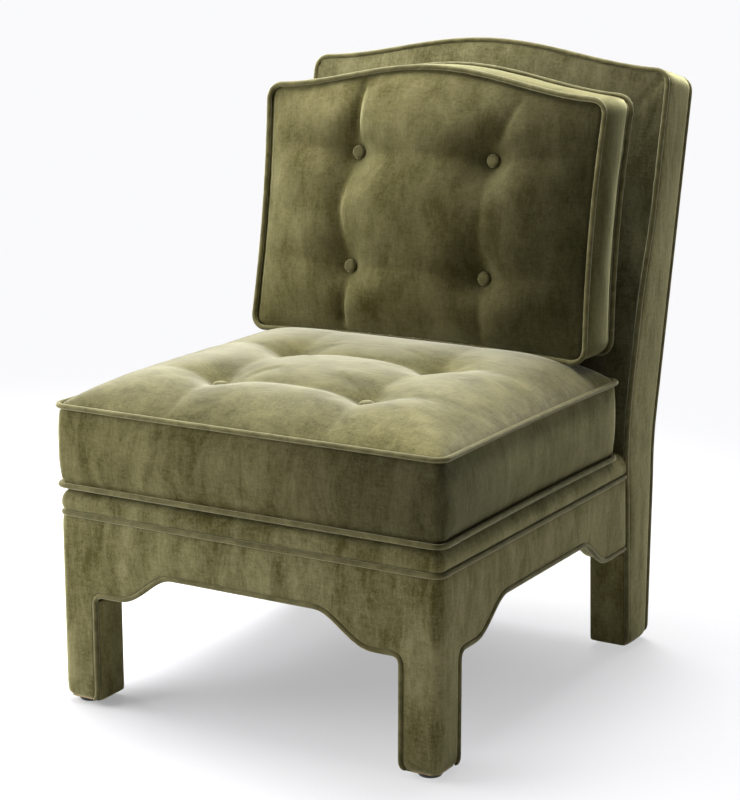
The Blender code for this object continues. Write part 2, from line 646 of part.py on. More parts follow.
class Cushion:
    """Boxed cushion in its own plane: x across, y along, z through it, with its seams at +-boxing / 2."""

    def __init__(self, width, length, boxing, corner, draw, bow, rise, slump, far_power, crowns, tufts, tuft_height, channel):
        self.half = width / 2
        self.length = length
        self.boxing = boxing
        self.corner = corner
        self.draw = draw
        self.bow = bow
        self.rise = rise
        self.slump = slump
        self.far_power = far_power
        self.crowns = crowns
        self.tufts = tufts
        self.tuft_height = tuft_height
        self.channel = channel

    def plan(self, u, v):
        """Point of the seam's plane for u and v from -1 to 1: rounded corners, drawn-in sides, raised top."""
        share_u = 1 - self.corner / self.half
        share_v = 1 - self.corner / (self.length / 2)
        across, along = abs(u), abs(v)
        if across > share_u and along > share_v:
            a = (across - share_u) / (1 - share_u)
            b = (along - share_v) / (1 - share_v)
            across = share_u + (1 - share_u) * a * math.sqrt(1 - b * b / 2)
            along = share_v + (1 - share_v) * b * math.sqrt(1 - a * a / 2)
        u = math.copysign(across, u)
        v = math.copysign(along, v)
        x = u * (self.half - self.draw * (1 - v * v))
        low = self.bow * (1 - u * u)
        high = self.length + self.rise * (1 + math.cos(math.pi * u)) / 2
        return x, low + (high - low) * (v + 1) / 2

    def crown(self, u, v):
        """Height of the top panel over its seam, drawn down at the tufts and along their channels."""
        swell = fullness(u, v, self.far_power)
        height = self.crowns[1] * swell
        x, y = self.plan(u, v)
        column = abs(x) - abs(self.tufts[0][0])
        height -= self.channel * swell * math.exp(-((column / CHANNEL_WIDTH) ** 2))
        for tuft_x, tuft_y in self.tufts:
            away = max(math.hypot(x - tuft_x, y - tuft_y) - TUFT_FLAT * math.sqrt(2) - FIT, 0)
            pull = math.exp(-((away / TUFT_SPREAD) ** 2))
            height += (self.tuft_height - height) * pull
        return height

    def base_crown(self, u, v):
        """Depth of the bottom panel under its seam: it swells fast from the seam to a level middle."""
        edge = max(abs(u), abs(v))
        return self.crowns[0] * min((1 - edge) / 0.2, 1) ** 0.7

    def rear_crown(self, u, v):
        return self.crowns[0] * fullness(u, v)

    def bulged(self, u, v, w):
        """Point of the boxing, which bulges between its two seams."""
        x, y = self.plan(u, v)
        out = Vector((math.copysign(abs(u) ** 8, u), math.copysign(abs(v) ** 8, v))).normalized()
        bulge = BOXING_BULGE * (1 - w * w)
        return x + out.x * bulge, y + out.y * bulge, w * self.boxing / 2

    def lines(self, places, half, corner):
        """Where the panels are divided, from -1 to 1: at the tufts, the corners, and evenly between."""
        found = [0, 1 - corner / half, 1 - 0.4 * corner / half, corner / half - 1, 0.4 * corner / half - 1]
        for at in places:
            found += [at + step * TUFT_FLAT / half for step in (-3.2, -1, 1, 3.2)]
        gaps = sorted(set(round(line, 6) for line in found if -1 < line < 1))
        for low, high in zip(gaps, gaps[1:]):
            if high - low > 0.17:
                found.append((low + high) / 2)
        return found

    def grid(self):
        across = self.lines([x / self.half for x in {tuft[0] for tuft in self.tufts}], self.half, self.corner)
        middle = self.length / 2
        along = self.lines([(y - middle) / middle for y in {tuft[1] for tuft in self.tufts}], middle, self.corner)
        return sorted(set(across)), sorted(set(along)), [-BOXING_LINE, BOXING_LINE]

    def slid(self, x, y, z):
        """A point of the cushion once its face has slumped a little against its base."""
        return x, y - self.slump * min(max(z / self.boxing, -0.5), 0.5), z

    def form(self, flat_base):
        """bmesh of the stuffed cushion."""
        bm = bmesh.new()
        bmesh.ops.create_cube(bm, size=2)
        for axis, lines in enumerate(self.grid()):
            normal = Vector([float(axis == i) for i in range(3)])
            for line in lines:
                geometry = bm.verts[:] + bm.edges[:] + bm.faces[:]
                bmesh.ops.bisect_plane(bm, geom=geometry, plane_co=normal * line, plane_no=normal, dist=1e-7)
        base = self.base_crown if flat_base else self.rear_crown
        level = [face for face in bm.faces if flat_base and is_level_base(face)]
        for vertex in bm.verts:
            u, v, w = vertex.co
            if abs(w) < 0.99:
                vertex.co = self.slid(*self.bulged(u, v, w))
            else:
                height = self.boxing / 2 + (self.crown(u, v) if w > 0 else base(u, v))
                vertex.co = self.slid(*self.plan(u, v), math.copysign(height, w))
        if level:
            bmesh.ops.dissolve_faces(bm, faces=level)
        return bm

    def seam(self, side):
        """Welt's line round one seam: side is 1 on the tufted panel and -1 on the other."""
        across, along, _ = self.grid()
        across = [-1] + across
        along = [-1] + along
        loop = [(u, -1) for u in across] + [(1, v) for v in along]
        loop += [(-u, 1) for u in across] + [(-1, -v) for v in along]
        outline = thinned([self.plan(u, v) for u, v in loop])
        outside = offset_path(outline, WELT_OUT, closed=True)
        return [self.slid(x, y, side * (self.boxing / 2 + WELT_OUT)) for x, y in outside]

    def core(self, inset):
        """bmesh of the foam block inside, or of the hollow that it lies in."""
        skin = self.boxing / 2 - CORE_SKIN - inset
        edge = CORE_INSET + inset
        wide = self.half - self.draw - edge
        bm = box((-wide, self.bow + edge, -skin), (wide, self.length - edge, skin))
        upright = [line for line in bm.edges if abs(line.verts[0].co.z - line.verts[1].co.z) > FIT]
        bmesh.ops.bevel(bm, geom=upright, offset=self.corner, segments=2, profile=0.5, affect="EDGES")
        return bm


def is_level_base(face):
    """Whether a face of the undeformed cushion lies in the level middle of its bottom panel."""
    return all(v.co.z < -0.99 and max(abs(v.co.x), abs(v.co.y)) < 0.81 for v in face.verts)


def thinned(outline):
    """Leaves out points that lie on the line between their neighbours to within a hair."""
    kept = []
    for i, point in enumerate(outline):
        before = Vector(kept[-1] if kept else outline[-1])
        after = Vector(outline[(i + 1) % len(outline)])
        here = Vector(point)
        chord = (after - before).normalized()
        away = here - before
        if abs(chord.x * away.y - chord.y * away.x) > FIT / 6:
            kept.append(point)
    return kept


def button(name, seat_of_button, parent):
    """Covered button on a tuft."""
    bm = bmesh.new()
    bmesh.ops.create_uvsphere(bm, u_segments=12, v_segments=6, radius=1)
    for vertex in bm.verts:
        vertex.co = (
            BUTTON_RADIUS * vertex.co.x,
            BUTTON_RADIUS * vertex.co.y,
            BUTTON_HEIGHT / 2 * vertex.co.z,
        )
    obj = place(name, bm, VELVET, parent)
    obj.location = Vector(seat_of_button) + Vector((0, 0, FIT + BUTTON_HEIGHT / 2))
    return obj


def slider_outline():
    """Zip slider with its pull lying along the tape, from the slider's closed end."""
    body = SLIDER_WIDTH / 2
    pull = PULL_WIDTH / 2
    end = -SLIDER_LENGTH - PULL_LENGTH
    upper = [(0, pull), (-SLIDER_LENGTH / 3, body), (-SLIDER_LENGTH, body), (-SLIDER_LENGTH, pull), (end, pull)]
    return upper + [(x, -y) for x, y in upper[::-1]]


def tuft_grid(half_span, low, pitch):
    return [(sign * half_span, low + row * pitch) for row in (0, 1) for sign in (-1, 1)]


def dress(name, cushion, parent, flat_base):
    """Cover, core, welts and buttons of one cushion."""
    cover = place(f"{name}_cover", cushion.form(flat_base), VELVET, parent)
    place(f"{name}_core", cushion.core(FIT), FOAM, parent)
    cord(f"{name}_welt_face", cushion.seam(1), parent, closed=True)
    cord(f"{name}_welt_base", cushion.seam(-1), parent, closed=True)
    for i, (x, y) in enumerate(cushion.tufts):
        seat_of_button = cushion.slid(x, y, cushion.boxing / 2 + cushion.tuft_height)
        button(f"{name}_button_{i + 1}", seat_of_button, parent)
    return cover


def empty(name, location, tilt=0.0):
    obj = bpy.data.objects.new(name, None)
    CHAIR.objects.link(obj)
    obj.location = location
    obj.rotation_euler = (tilt, 0, 0)
    return obj


# Seat cushion, lying on the deck
seat_base = DECK_HEIGHT + FIT + WELT_RADIUS + WELT_OUT
seat_tufts = tuft_grid(SEAT_TUFT_SPAN / 2, SEAT_TUFT_FRONT, SEAT_TUFT_PITCH)
seat = Cushion(
    SEAT_WIDTH, SEAT_DEPTH, SEAT_BOXING, SEAT_CORNER, SEAT_DRAW, 0, 0, 0, SEAT_REAR_POWER,
    (WELT_RADIUS + WELT_OUT, SEAT_CROWN), seat_tufts, SEAT_TUFT_HEIGHT, SEAT_CHANNEL,
)
seat_origin = empty("seat_cushion", (0, FRONT + SEAT_SETBACK, seat_base + SEAT_BOXING / 2))
seat_cover = dress("seat_cushion", seat, seat_origin, True)
seat_slot = box(
    (-ZIP_LENGTH / 2, SEAT_DEPTH - CORE_INSET - CUT_PAST, -ZIP_SLOT / 2),
    (ZIP_LENGTH / 2, SEAT_DEPTH + CUT_PAST, ZIP_SLOT / 2),
)
cut(
    seat_cover,
    cutter("seat_hollow", seat.core(0), seat_origin),
    cutter("seat_zip_slot", seat_slot, seat_origin),
)
zip_ends = [ZIP_LENGTH / SEAT_WIDTH * i / 10 for i in range(-10, 11)]
seat_rear = max(seat.bulged(u, 1, BOXING_LINE)[1] for u in zip_ends) + FIT
seat_slider = place(
    "seat_zip_slider", prism(slider_outline(), seat_rear, seat_rear + SLIDER, "XZ"), BRASS, seat_origin
)
seat_slider.location.x = ZIP_LENGTH / 2

# Back cushion, leaning on the inside back and standing on the seat cushion
pillow_tufts = tuft_grid(PILLOW_TUFT_SPAN / 2, PILLOW_TUFT_LOW, PILLOW_TUFT_PITCH)
pillow = Cushion(
    PILLOW_WIDTH, PILLOW_HEIGHT, PILLOW_BOXING, PILLOW_CORNER, PILLOW_DRAW, PILLOW_BOW, PILLOW_RISE,
    PILLOW_SLUMP, CROWN_POWER,
    (PILLOW_REAR_CROWN, PILLOW_CROWN), pillow_tufts, PILLOW_TUFT_HEIGHT, PILLOW_CHANNEL,
)
start = (0, FRONT + SEAT_DEPTH / 2, seat_base + SEAT_BOXING + 2 * SEAT_CROWN)
pillow_origin = empty("back_cushion", start, math.pi / 2 - PILLOW_LEAN)
pillow_cover = dress("back_cushion", pillow, pillow_origin, False)


def world_faces(names):
    """Corners and faces of named objects, where they stand."""
    corners, faces = [], []
    bpy.context.view_layer.update()
    for name in names:
        obj = bpy.data.objects[name]
        mesh = evaluated_mesh(obj)
        first = len(corners)
        corners += [obj.matrix_world @ vertex.co for vertex in mesh.vertices]
        faces += [[first + i for i in polygon.vertices] for polygon in mesh.polygons]
    return corners, faces


def edge_points(corners, faces):
    """Points along every edge, close enough together that none passes between two of them."""
    points = []
    for face in faces:
        for first, last in zip(face, face[1:] + face[:1]):
            if first < last:
                run = corners[last] - corners[first]
                count = math.ceil(run.length / TOUCH_PITCH)
                points += [corners[first] + run * i / count for i in range(count)]
    return points


def clear_run(moving, fixed, direction):
    """How far the moving pieces go in a direction before they touch the fixed ones."""
    runs = []
    for near, far, way in ((moving, fixed, direction), (fixed, moving, -direction)):
        tree = BVHTree.FromPolygons(*world_faces(far))
        runs += [tree.ray_cast(point, way)[3] for point in edge_points(*world_faces(near))]
    return min(run for run in runs if run is not None)


leaning = ["back_cushion_cover", "back_cushion_welt_face", "back_cushion_welt_base"]
under = ["seat_cushion_cover", "seat_cushion_welt_face"]
behind = ["inside_back_cover", "back_front_welt"]
for step in range(8):
    for direction, carrying in ((Vector((0, 0, -1)), under), (Vector((0, 1, 0)), behind)):
        pillow_origin.location -= direction * APPROACH
        run = clear_run(leaning, carrying, direction) - 2 * FIT
        pillow_origin.location += direction * run

pillow_slot = box(
    (-ZIP_LENGTH / 2, -CUT_PAST, -ZIP_SLOT / 2),
    (ZIP_LENGTH / 2, CORE_INSET + CUT_PAST, ZIP_SLOT / 2),
)
cut(
    pillow_cover,
    cutter("pillow_hollow", pillow.core(0), pillow_origin),
    cutter("pillow_zip_slot", pillow_slot, pillow_origin),
)
zip_ends = [ZIP_LENGTH / PILLOW_WIDTH * i / 10 for i in range(-10, 11)]
slope = PILLOW_SLUMP / PILLOW_BOXING
pillow_foot = min(pillow.bulged(u, -1, BOXING_LINE)[1] for u in zip_ends) - slope * SLIDER_WIDTH / 2 - FIT
pillow_slider = place(
    "back_zip_slider", prism(slider_outline(), pillow_foot - SLIDER, pillow_foot, "XZ"), BRASS, pillow_origin
)
pillow_slider.location.x = ZIP_LENGTH / 2
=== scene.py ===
"""Looks of the armless slipper chair: velvet covers, welts, tufted cushions, and the timber beneath them.

Metres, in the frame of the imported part. The chair faces -Y and stands on z = 0.
"""

import math

import bmesh
import bpy
import numpy as np
from mathutils import Matrix, Vector, noise


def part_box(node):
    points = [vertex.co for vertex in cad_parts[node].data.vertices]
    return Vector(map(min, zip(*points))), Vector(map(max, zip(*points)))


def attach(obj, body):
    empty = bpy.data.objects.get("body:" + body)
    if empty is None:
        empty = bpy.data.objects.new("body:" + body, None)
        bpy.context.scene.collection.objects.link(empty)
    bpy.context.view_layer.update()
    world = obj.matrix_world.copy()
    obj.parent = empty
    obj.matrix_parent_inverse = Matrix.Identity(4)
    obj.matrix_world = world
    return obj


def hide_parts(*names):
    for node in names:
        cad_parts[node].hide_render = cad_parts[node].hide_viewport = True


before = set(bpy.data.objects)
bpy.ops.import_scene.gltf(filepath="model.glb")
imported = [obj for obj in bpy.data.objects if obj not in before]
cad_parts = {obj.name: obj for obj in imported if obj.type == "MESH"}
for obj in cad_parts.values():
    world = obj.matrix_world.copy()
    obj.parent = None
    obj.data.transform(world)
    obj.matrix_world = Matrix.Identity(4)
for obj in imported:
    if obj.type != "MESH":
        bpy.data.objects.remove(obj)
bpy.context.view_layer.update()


# Hardwood frame: legs, posts, rails and corner blocks of planed beech, dowelled and glued together.
# Nearly all of it is under velvet, and the bare wood shows only from below.
def new_finish(name, roughness, specular=0.5):
    """A node material with its shader set for one finish."""
    material = bpy.data.materials.new(name)
    material.use_nodes = True
    shader = material.node_tree.nodes["Principled BSDF"]
    shader.inputs["Roughness"].default_value = roughness
    shader.inputs["Specular IOR Level"].default_value = specular
    return material, shader


def add_node(material, kind, inputs, **settings):
    """Adds a node to a material. Each input is a plain value, or the output that feeds it."""
    made = material.node_tree.nodes.new(f"ShaderNode{kind}")
    for key, value in settings.items():
        setattr(made, key, value)
    for key, value in inputs.items():
        if isinstance(value, bpy.types.NodeSocket):
            material.node_tree.links.new(value, made.inputs[key])
        else:
            made.inputs[key].default_value = value
    return made


def link(material, output, shader, name):
    material.node_tree.links.new(output, shader.inputs[name])


def place_on(material, scale=(1, 1, 1)):
    """Where a texture lies on the piece, stretched by a scale along each axis."""
    where = add_node(material, "TexCoord", {})
    laid = add_node(material, "Mapping", {"Vector": where.outputs["Object"], "Scale": scale})
    return laid.outputs["Vector"]


def speckle(material, where, scale, detail=2.0, distortion=0.0, roughness=0.5):
    made = add_node(
        material, "TexNoise",
        {"Vector": where, "Scale": scale, "Detail": detail, "Distortion": distortion, "Roughness": roughness},
    )
    return made.outputs[0]


def shade_between(material, share, stops):
    """Colour ramp through (place, colour) stops."""
    ramp = add_node(material, "ValToRGB", {"Fac": share})
    while len(ramp.color_ramp.elements) < len(stops):
        ramp.color_ramp.elements.new(0.5)
    for element, (place, colour) in zip(ramp.color_ramp.elements, stops):
        element.position = place
        element.color = (*colour, 1)
    return ramp.outputs["Color"]


def raise_by(material, height, distance, strength=1.0, under=None):
    inputs = {"Height": height, "Distance": distance, "Strength": strength}
    if under is not None:
        inputs["Normal"] = under
    return add_node(material, "Bump", inputs).outputs["Normal"]


def multiplied(material, colour, shade):
    mixed = add_node(material, "Mix", {0: 1.0, 6: colour, 7: shade}, data_type="RGBA", blend_type="MULTIPLY")
    return mixed.outputs[2]


def beech(name, along):
    """Planed beech with its grain along one axis: pale, with fine dark flecks."""
    material, shader = new_finish(name, 0.55)
    stretch = [34.0, 34.0, 34.0]
    stretch[along] = 2.2
    rings = speckle(material, place_on(material, stretch), 1.0, 4.0, 1.2)
    flecks = [420.0, 420.0, 420.0]
    flecks[along] = 70.0
    pores = speckle(material, place_on(material, flecks), 1.0, 1.0)
    tone = shade_between(
        material, rings, [(0.3, (0.44, 0.27, 0.13)), (0.55, (0.55, 0.37, 0.20)), (0.75, (0.63, 0.45, 0.27))],
    )
    fleck = shade_between(material, pores, [(0.28, (0.72, 0.66, 0.60)), (0.42, (1, 1, 1))])
    link(material, multiplied(material, tone, fleck), shader, "Base Color")
    link(material, raise_by(material, pores, 0.0004), shader, "Normal")
    return material


def dress_nodes(finish, *names):
    for name in names:
        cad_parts[name].data.materials.clear()
        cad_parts[name].data.materials.append(finish)


hands = {"right": 1, "left": -1}
uprights = ("front_leg", "back_post")
lengthways = ("side_rail", "front_corner_block", "rear_corner_block")
dress_nodes(beech("beech_upright", 2), *[f"{piece}_{side}" for piece in uprights for side in hands])
dress_nodes(beech("beech_across", 0), "front_rail", "seat_back_rail", "rear_apron_rail", "crest_rail")
dress_nodes(beech("beech_fore_and_aft", 1), *[f"{piece}_{side}" for piece in lengthways for side in hands])


# Back board: a sheet of birch plywood let in between the back posts, behind the foam.
# It is closed in by the covers on both faces.
def finish_by(material, shader, texture, stops, relief, strength=1.0):
    """Colours a finish through its stops by a texture, and raises it by the same texture."""
    link(material, shade_between(material, texture, stops), shader, "Base Color")
    link(material, raise_by(material, texture, relief, strength), shader, "Normal")


plywood, shader = new_finish("birch_plywood", 0.6)
figure = speckle(plywood, place_on(plywood, (9.0, 60.0, 1.4)), 2.0, 5.0, 1.6)
finish_by(plywood, shader, figure, [(0.3, (0.52, 0.37, 0.21)), (0.7, (0.68, 0.52, 0.33))], 0.0003)
dress_nodes(plywood, "back_board")


# Seat webbing: four woven elastic straps stapled from the front rail to the seat back rail.
# The deck pad lies on them.
def ribs(material, direction, scale, distortion):
    """Raised ribs of a woven cloth, one after another along a direction."""
    made = add_node(
        material, "TexWave", {"Vector": place_on(material), "Scale": scale, "Distortion": distortion},
        wave_type="BANDS", bands_direction=direction,
    )
    return made.outputs["Fac"]


webbing, shader = new_finish("black_webbing", 0.8, 0.3)
across, along = ribs(webbing, "X", 95.0, 0.4), ribs(webbing, "Y", 60.0, 0.6)
weave = add_node(webbing, "Math", {0: across, 1: along}, operation="MULTIPLY").outputs[0]
finish_by(webbing, shader, weave, [(0.0, (0.018, 0.017, 0.016)), (1.0, (0.085, 0.078, 0.068))], 0.0006)
dress_nodes(webbing, *[f"webbing_strap_{i}" for i in range(1, 5)])


# Dust cover: black cambric, cut to the inside of the rails and stapled under the webbing.
# It is drawn tight, with a slight sag in the middle.
def turned_out(mesh):
    """Turns a mesh's faces outward, as seen from its middle."""
    mesh.update()
    middle = Vector(np.mean([vertex.co for vertex in mesh.vertices], axis=0))
    if sum(face.normal.dot(face.center - middle) * face.area for face in mesh.polygons) < 0:
        mesh.flip_normals()


def cloth_piece(name, points, faces, finish):
    """A smooth mesh piece from its points and faces."""
    mesh = bpy.data.meshes.new(name)
    mesh.from_pydata(np.asarray(points, float).reshape(-1, 3).tolist(), [], faces)
    turned_out(mesh)
    mesh.shade_smooth()
    mesh.materials.append(finish)
    piece = bpy.data.objects.new(name, mesh)
    bpy.context.scene.collection.objects.link(piece)
    return piece


def quads(rows, columns, closed=False, first=0):
    """Faces of a grid of points, row by row. A closed one joins its last column to its first."""
    faces = []
    for row in range(rows - 1):
        for column in range(columns if closed else columns - 1):
            after = (column + 1) % columns
            low, high = first + row * columns, first + (row + 1) * columns
            faces.append((low + column, low + after, high + after, high + column))
    return faces


def settle_on(piece, body, slot, *nodes):
    """The piece moves with a body and stands for CAD nodes; slot, a finish of the record, is not used."""
    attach(piece, body)
    if nodes:
        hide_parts(*nodes)
    return piece


cambric, shader = new_finish("black_cambric_cloth", 0.95, 0.2)
thread = speckle(cambric, place_on(cambric, (900, 140, 500)), 1.0, 1.0)
cross_thread = speckle(cambric, place_on(cambric, (140, 900, 500)), 1.0, 1.0)
weave = add_node(cambric, "Math", {0: thread, 1: cross_thread}, operation="ADD").outputs[0]
finish_by(cambric, shader, weave, [(0.6, (0.008, 0.008, 0.009)), (1.0, (0.035, 0.034, 0.034))], 0.0004)

cambric_low, cambric_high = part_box("dust_cover")
cambric_half = cambric_high[0]
cambric_cut = 0.0329
cambric_sag = 0.004
cambric_deep = cambric_high[1] - cambric_low[1]
cambric_level = cambric_high[2] - 0.0004
cambric_rows, cambric_columns = 25, 31
cambric_points = []
for share in np.linspace(0, 1, cambric_rows):
    y = cambric_low[1] + share * cambric_deep
    half_here = cambric_half - max(cambric_cut - (y - cambric_low[1]), 0)
    for across in np.linspace(-1, 1, cambric_columns):
        sag = cambric_sag * (1 - across**4) * (1 - (2 * share - 1) ** 4)
        cambric_points.append((across * half_here, y, cambric_level - sag))
dust_cover = cloth_piece("dust_cover_cloth", cambric_points, quads(cambric_rows, cambric_columns), cambric)
settle_on(dust_cover, "frame", "black_cambric", "dust_cover")


# Glides: moulded black nylon discs with a rounded rim, nailed into the feet through a recess underneath.
# Each stands 8 mm below the velvet of its leg.
nylon, shader = new_finish("black_nylon_glide", 0.42)
grain = speckle(nylon, place_on(nylon), 1600.0, 2.0)
finish_by(nylon, shader, grain, [(0.3, (0.012, 0.012, 0.013)), (0.7, (0.026, 0.026, 0.027))], 0.00025)


def capped(rows, columns):
    """Faces of a closed grid of points, with both its ends filled in."""
    last = (rows - 1) * columns
    ends = [tuple(range(columns))[::-1], tuple(range(last, last + columns))]
    return quads(rows, columns, closed=True) + ends


glide_profile = [
    (0.0022, 0.0035), (0.0042, 0.0035), (0.0052, 0.0008), (0.0062, 0.0), (0.0135, 0.0), (0.0158, 0.0007),
    (0.0168, 0.0023), (0.0170, 0.0045), (0.0170, 0.0068), (0.0164, 0.0077), (0.0150, 0.0080),
    (0.0020, 0.0080),
]
glide_steps = 40
glide_turns = np.arange(glide_steps) * 2 * math.pi / glide_steps
for end in ("front", "rear"):
    for side in hands:
        low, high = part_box(f"{end}_glide_{side}")
        x, y = (low[0] + high[0]) / 2, (low[1] + high[1]) / 2
        glide_points = [
            (x + radius * math.cos(turn), y + radius * math.sin(turn), low[2] + height)
            for radius, height in glide_profile for turn in glide_turns
        ]
        glide_faces = capped(len(glide_profile), glide_steps)
        glide = cloth_piece(f"{end}_glide_disc_{side}", glide_points, glide_faces, nylon)
        settle_on(glide, "frame", "black_nylon", f"{end}_glide_{side}")


# Base cover: velvet over thin wadding, drawn round the front, the sides and the front legs, stapled inside.
# Its lower edge goes up each leg, over a shoulder and through an ogee to the level middle of the apron.
def napped(shader, tint):
    """Sheen of a pile that is looked along."""
    shader.inputs["Sheen Weight"].default_value = 1.0
    shader.inputs["Sheen Roughness"].default_value = 0.36
    shader.inputs["Sheen Tint"].default_value = (*tint, 1)


def velvet(
    name, deep, light, smear=(34, 34, 11), upright=True, stops=(0.41, 0.59), sheen=(0.95, 0.92, 0.52),
    nap_and_painted_light=None,
):
    """Olive velvet: dark when looked into, pale along the lie of its pile, and smudged by handling.

    The last argument gives a direction, two places along it and a factor at each: the colour is multiplied by
    a ramp between them, painted light and shade across the piece.
    """
    material, shader = new_finish(name, 0.85, 0.04)
    napped(shader, sheen)
    where = place_on(material)

    def threads(scale):
        return speckle(material, place_on(material, scale), 1.0, 3.0, 0.4, 0.65)

    broad = speckle(material, where, 7.0, 2.0, 0.3)
    smudge = speckle(material, place_on(material, smear), 1.0, 4.0, 0.5, 0.62)
    weft = threads((80, 80, 260) if upright else (80, 260, 80))
    warp = threads((260, 260, 60) if upright else (260, 60, 260))
    pile = speckle(material, where, 430.0, 3.0, 0.0, 0.7)
    lie = 0.0
    for share, texture in ((0.20, broad), (0.33, smudge), (0.13, weft), (0.15, warp), (0.19, pile)):
        lie = add_node(material, "Math", {0: texture, 1: share, 2: lie}, operation="MULTIPLY_ADD").outputs[0]
    colour = shade_between(material, lie, [(stops[0], deep), (stops[1], light)])
    # Painted light and shade: the colour is made lighter or darker by place along a direction.
    if nap_and_painted_light:
        direction, (start, stop), (first, last) = nap_and_painted_light
        along = add_node(material, "VectorMath", {0: where, 1: direction}, operation="DOT_PRODUCT")
        painted_light_ramp = {"Value": along.outputs["Value"], "From Min": start, "From Max": stop}
        painted_light_ramp |= {"To Min": first, "To Max": last}
        turned = add_node(material, "MapRange", painted_light_ramp, interpolation_type="SMOOTHSTEP")
        colour = multiplied(material, colour, turned.outputs["Result"])
    link(material, colour, shader, "Base Color")
    normal = None
    for texture, relief, strength in ((smudge, 0.0030, 0.3), (weft, 0.0006, 0.3), (pile, 0.0005, 0.5)):
        normal = raise_by(material, texture, relief, strength, normal)
    link(material, normal, shader, "Normal")
    return material


# Painted light: the colour grows up to 1.28 times lighter from x = 0.298 to 0.312, on the right-hand sides,
# which the lamps leave darker.
frame_velvet = velvet(
    "olive_velvet_frame", (0.054, 0.047, 0.012), (0.186, 0.170, 0.082),
    nap_and_painted_light=((1, 0, 0), (0.298, 0.312), (1.0, 1.28)),
)

base_low, base_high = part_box("base_cover")
half_base = base_high[0]
front, base_rear = base_low[1], base_high[1]
sole, rail_top = base_low[2], base_high[2]
cover = 0.005
cover_thick = cover - 0.0004
base_corner = 0.014
leg_width = 0.0545
leg_inner = half_base - leg_width
leg_rear = front + leg_width
shoulder = 0.176
shoulder_run = 0.048
rear_shoulder_run = 0.060
leg_fillet = 0.016
ogee_run = 0.092
ogee_rise = 0.045
fillet_foot = shoulder - leg_fillet


def scallop(inward, run, leg):
    """Height of an apron's lower edge, this far in from its end, with this run of flat shoulder."""
    ogee = np.clip((inward - run) / ogee_run, 0, 1)
    height = shoulder + ogee_rise * (1 - np.cos(np.pi * ogee)) / 2
    if leg:
        hook = np.clip(leg_fillet - inward, 0, leg_fillet)
        height = np.where(inward < leg_fillet, fillet_foot + np.sqrt(leg_fillet**2 - hook**2), height)
    return height


def spread(low, high, step, hooked_low=False, hooked_high=False):
    """Places along an apron, closer together round the fillet at a leg."""
    hook = leg_fillet * (1 - np.cos(np.linspace(0, np.pi / 2, 8)))
    places = [low + hook] if hooked_low else [np.array([low])]
    begin = low + (leg_fillet if hooked_low else 0)
    end = high - (leg_fillet if hooked_high else 0)
    places.append(np.linspace(begin, end, max(int((end - begin) / step), 2) + 1)[1:])
    if hooked_high:
        places.append((high - hook[::-1])[1:])
    return np.concatenate(places)


def front_scallop(x, tuck=0):
    """Lower edge of the front apron, or of the cover that is tucked this far into its welt."""
    return scallop(leg_inner - tuck - np.abs(x), shoulder_run, True) - tuck


def side_scallop(y, tuck=0):
    ahead = scallop(y - leg_rear - tuck, shoulder_run, True)
    return np.minimum(ahead, scallop(base_rear - y, rear_shoulder_run, False)) - tuck


rim_rows = np.array([0, 0.0012, 0.0026, 0.0044])
rim_end = 0.0070


def rows_from(edge, stop, count):
    """Heights from a free edge to a stop, closer together at the edge, where the cover turns in."""
    return np.concatenate([edge + rim_rows, np.linspace(edge + rim_end, stop, count - len(rim_rows))])


def column_heights(foot, top, upper_rows, lower_rows=0):
    """Heights up one column of a cover: from the sole to the shoulder on a leg, then to its top."""
    heights = rows_from(foot, top, upper_rows)
    if lower_rows:
        heights = np.concatenate([rows_from(sole, foot, lower_rows + 1)[:-1], heights])
    return heights


def turned_in(off, z):
    """How far a cover lies inside its flat face: in the groove beside a welt, and round the sole."""
    groove, groove_wide = 0.0016, 0.0040
    sole_round, sole_reach = 0.0042, 0.0090
    return groove * (1 - eased(off / groove_wide)) + sole_round * (1 - eased((z - sole) / sole_reach))


foot_turn = 0.0045
turn_level = sole + 0.0062


def turned_under(z):
    """How far the edge of a leg has gone in at a height, where its corner turns under the sole."""
    below = np.clip(turn_level + foot_turn - z, 0, foot_turn)
    return foot_turn - np.sqrt(foot_turn**2 - below**2)


def from_edges(points, lines):
    """Distance of flat points from the nearest of several lines of points."""
    nearest = np.full(len(points), 1.0)
    for line in lines:
        line = np.asarray(line, float)
        for start, stop in zip(line, line[1:]):
            run = stop - start
            share = np.clip((points - start) @ run / max(run @ run, 1e-12), 0, 1)
            nearest = np.minimum(nearest, np.linalg.norm(points - start - share[:, None] * run, axis=1))
    return nearest


def eased(share):
    share = np.clip(share, 0, 1)
    return share * share * (3 - 2 * share)


def merged(piece):
    """Sews the panels of a piece together where their edges lie on each other."""
    bm = bmesh.new()
    bm.from_mesh(piece.data)
    bmesh.ops.remove_doubles(bm, verts=bm.verts[:], dist=2e-5)
    bmesh.ops.recalc_face_normals(bm, faces=bm.faces[:])
    bm.to_mesh(piece.data)
    bm.free()
    turned_out(piece.data)
    return piece


def thickened(piece, thickness, roll):
    """Gives a flat cover its wadding, with its free edges rolled, and bakes the result."""
    wadding = piece.modifiers.new("wadding", "SOLIDIFY")
    wadding.thickness = thickness
    wadding.offset = -1
    rolled = piece.modifiers.new("rolled", "BEVEL")
    rolled.width = roll
    rolled.segments = 3
    rolled.limit_method = "ANGLE"
    rolled.angle_limit = math.radians(50)
    return baked(piece)


def baked(piece):
    graph = bpy.context.evaluated_depsgraph_get()
    mesh = bpy.data.meshes.new_from_object(piece.evaluated_get(graph))
    piece.modifiers.clear()
    piece.data = mesh
    mesh.shade_smooth()
    return piece


corner_arc = base_corner * np.pi / 2
front_flat = half_base - base_corner
side_turn = front_flat + corner_arc


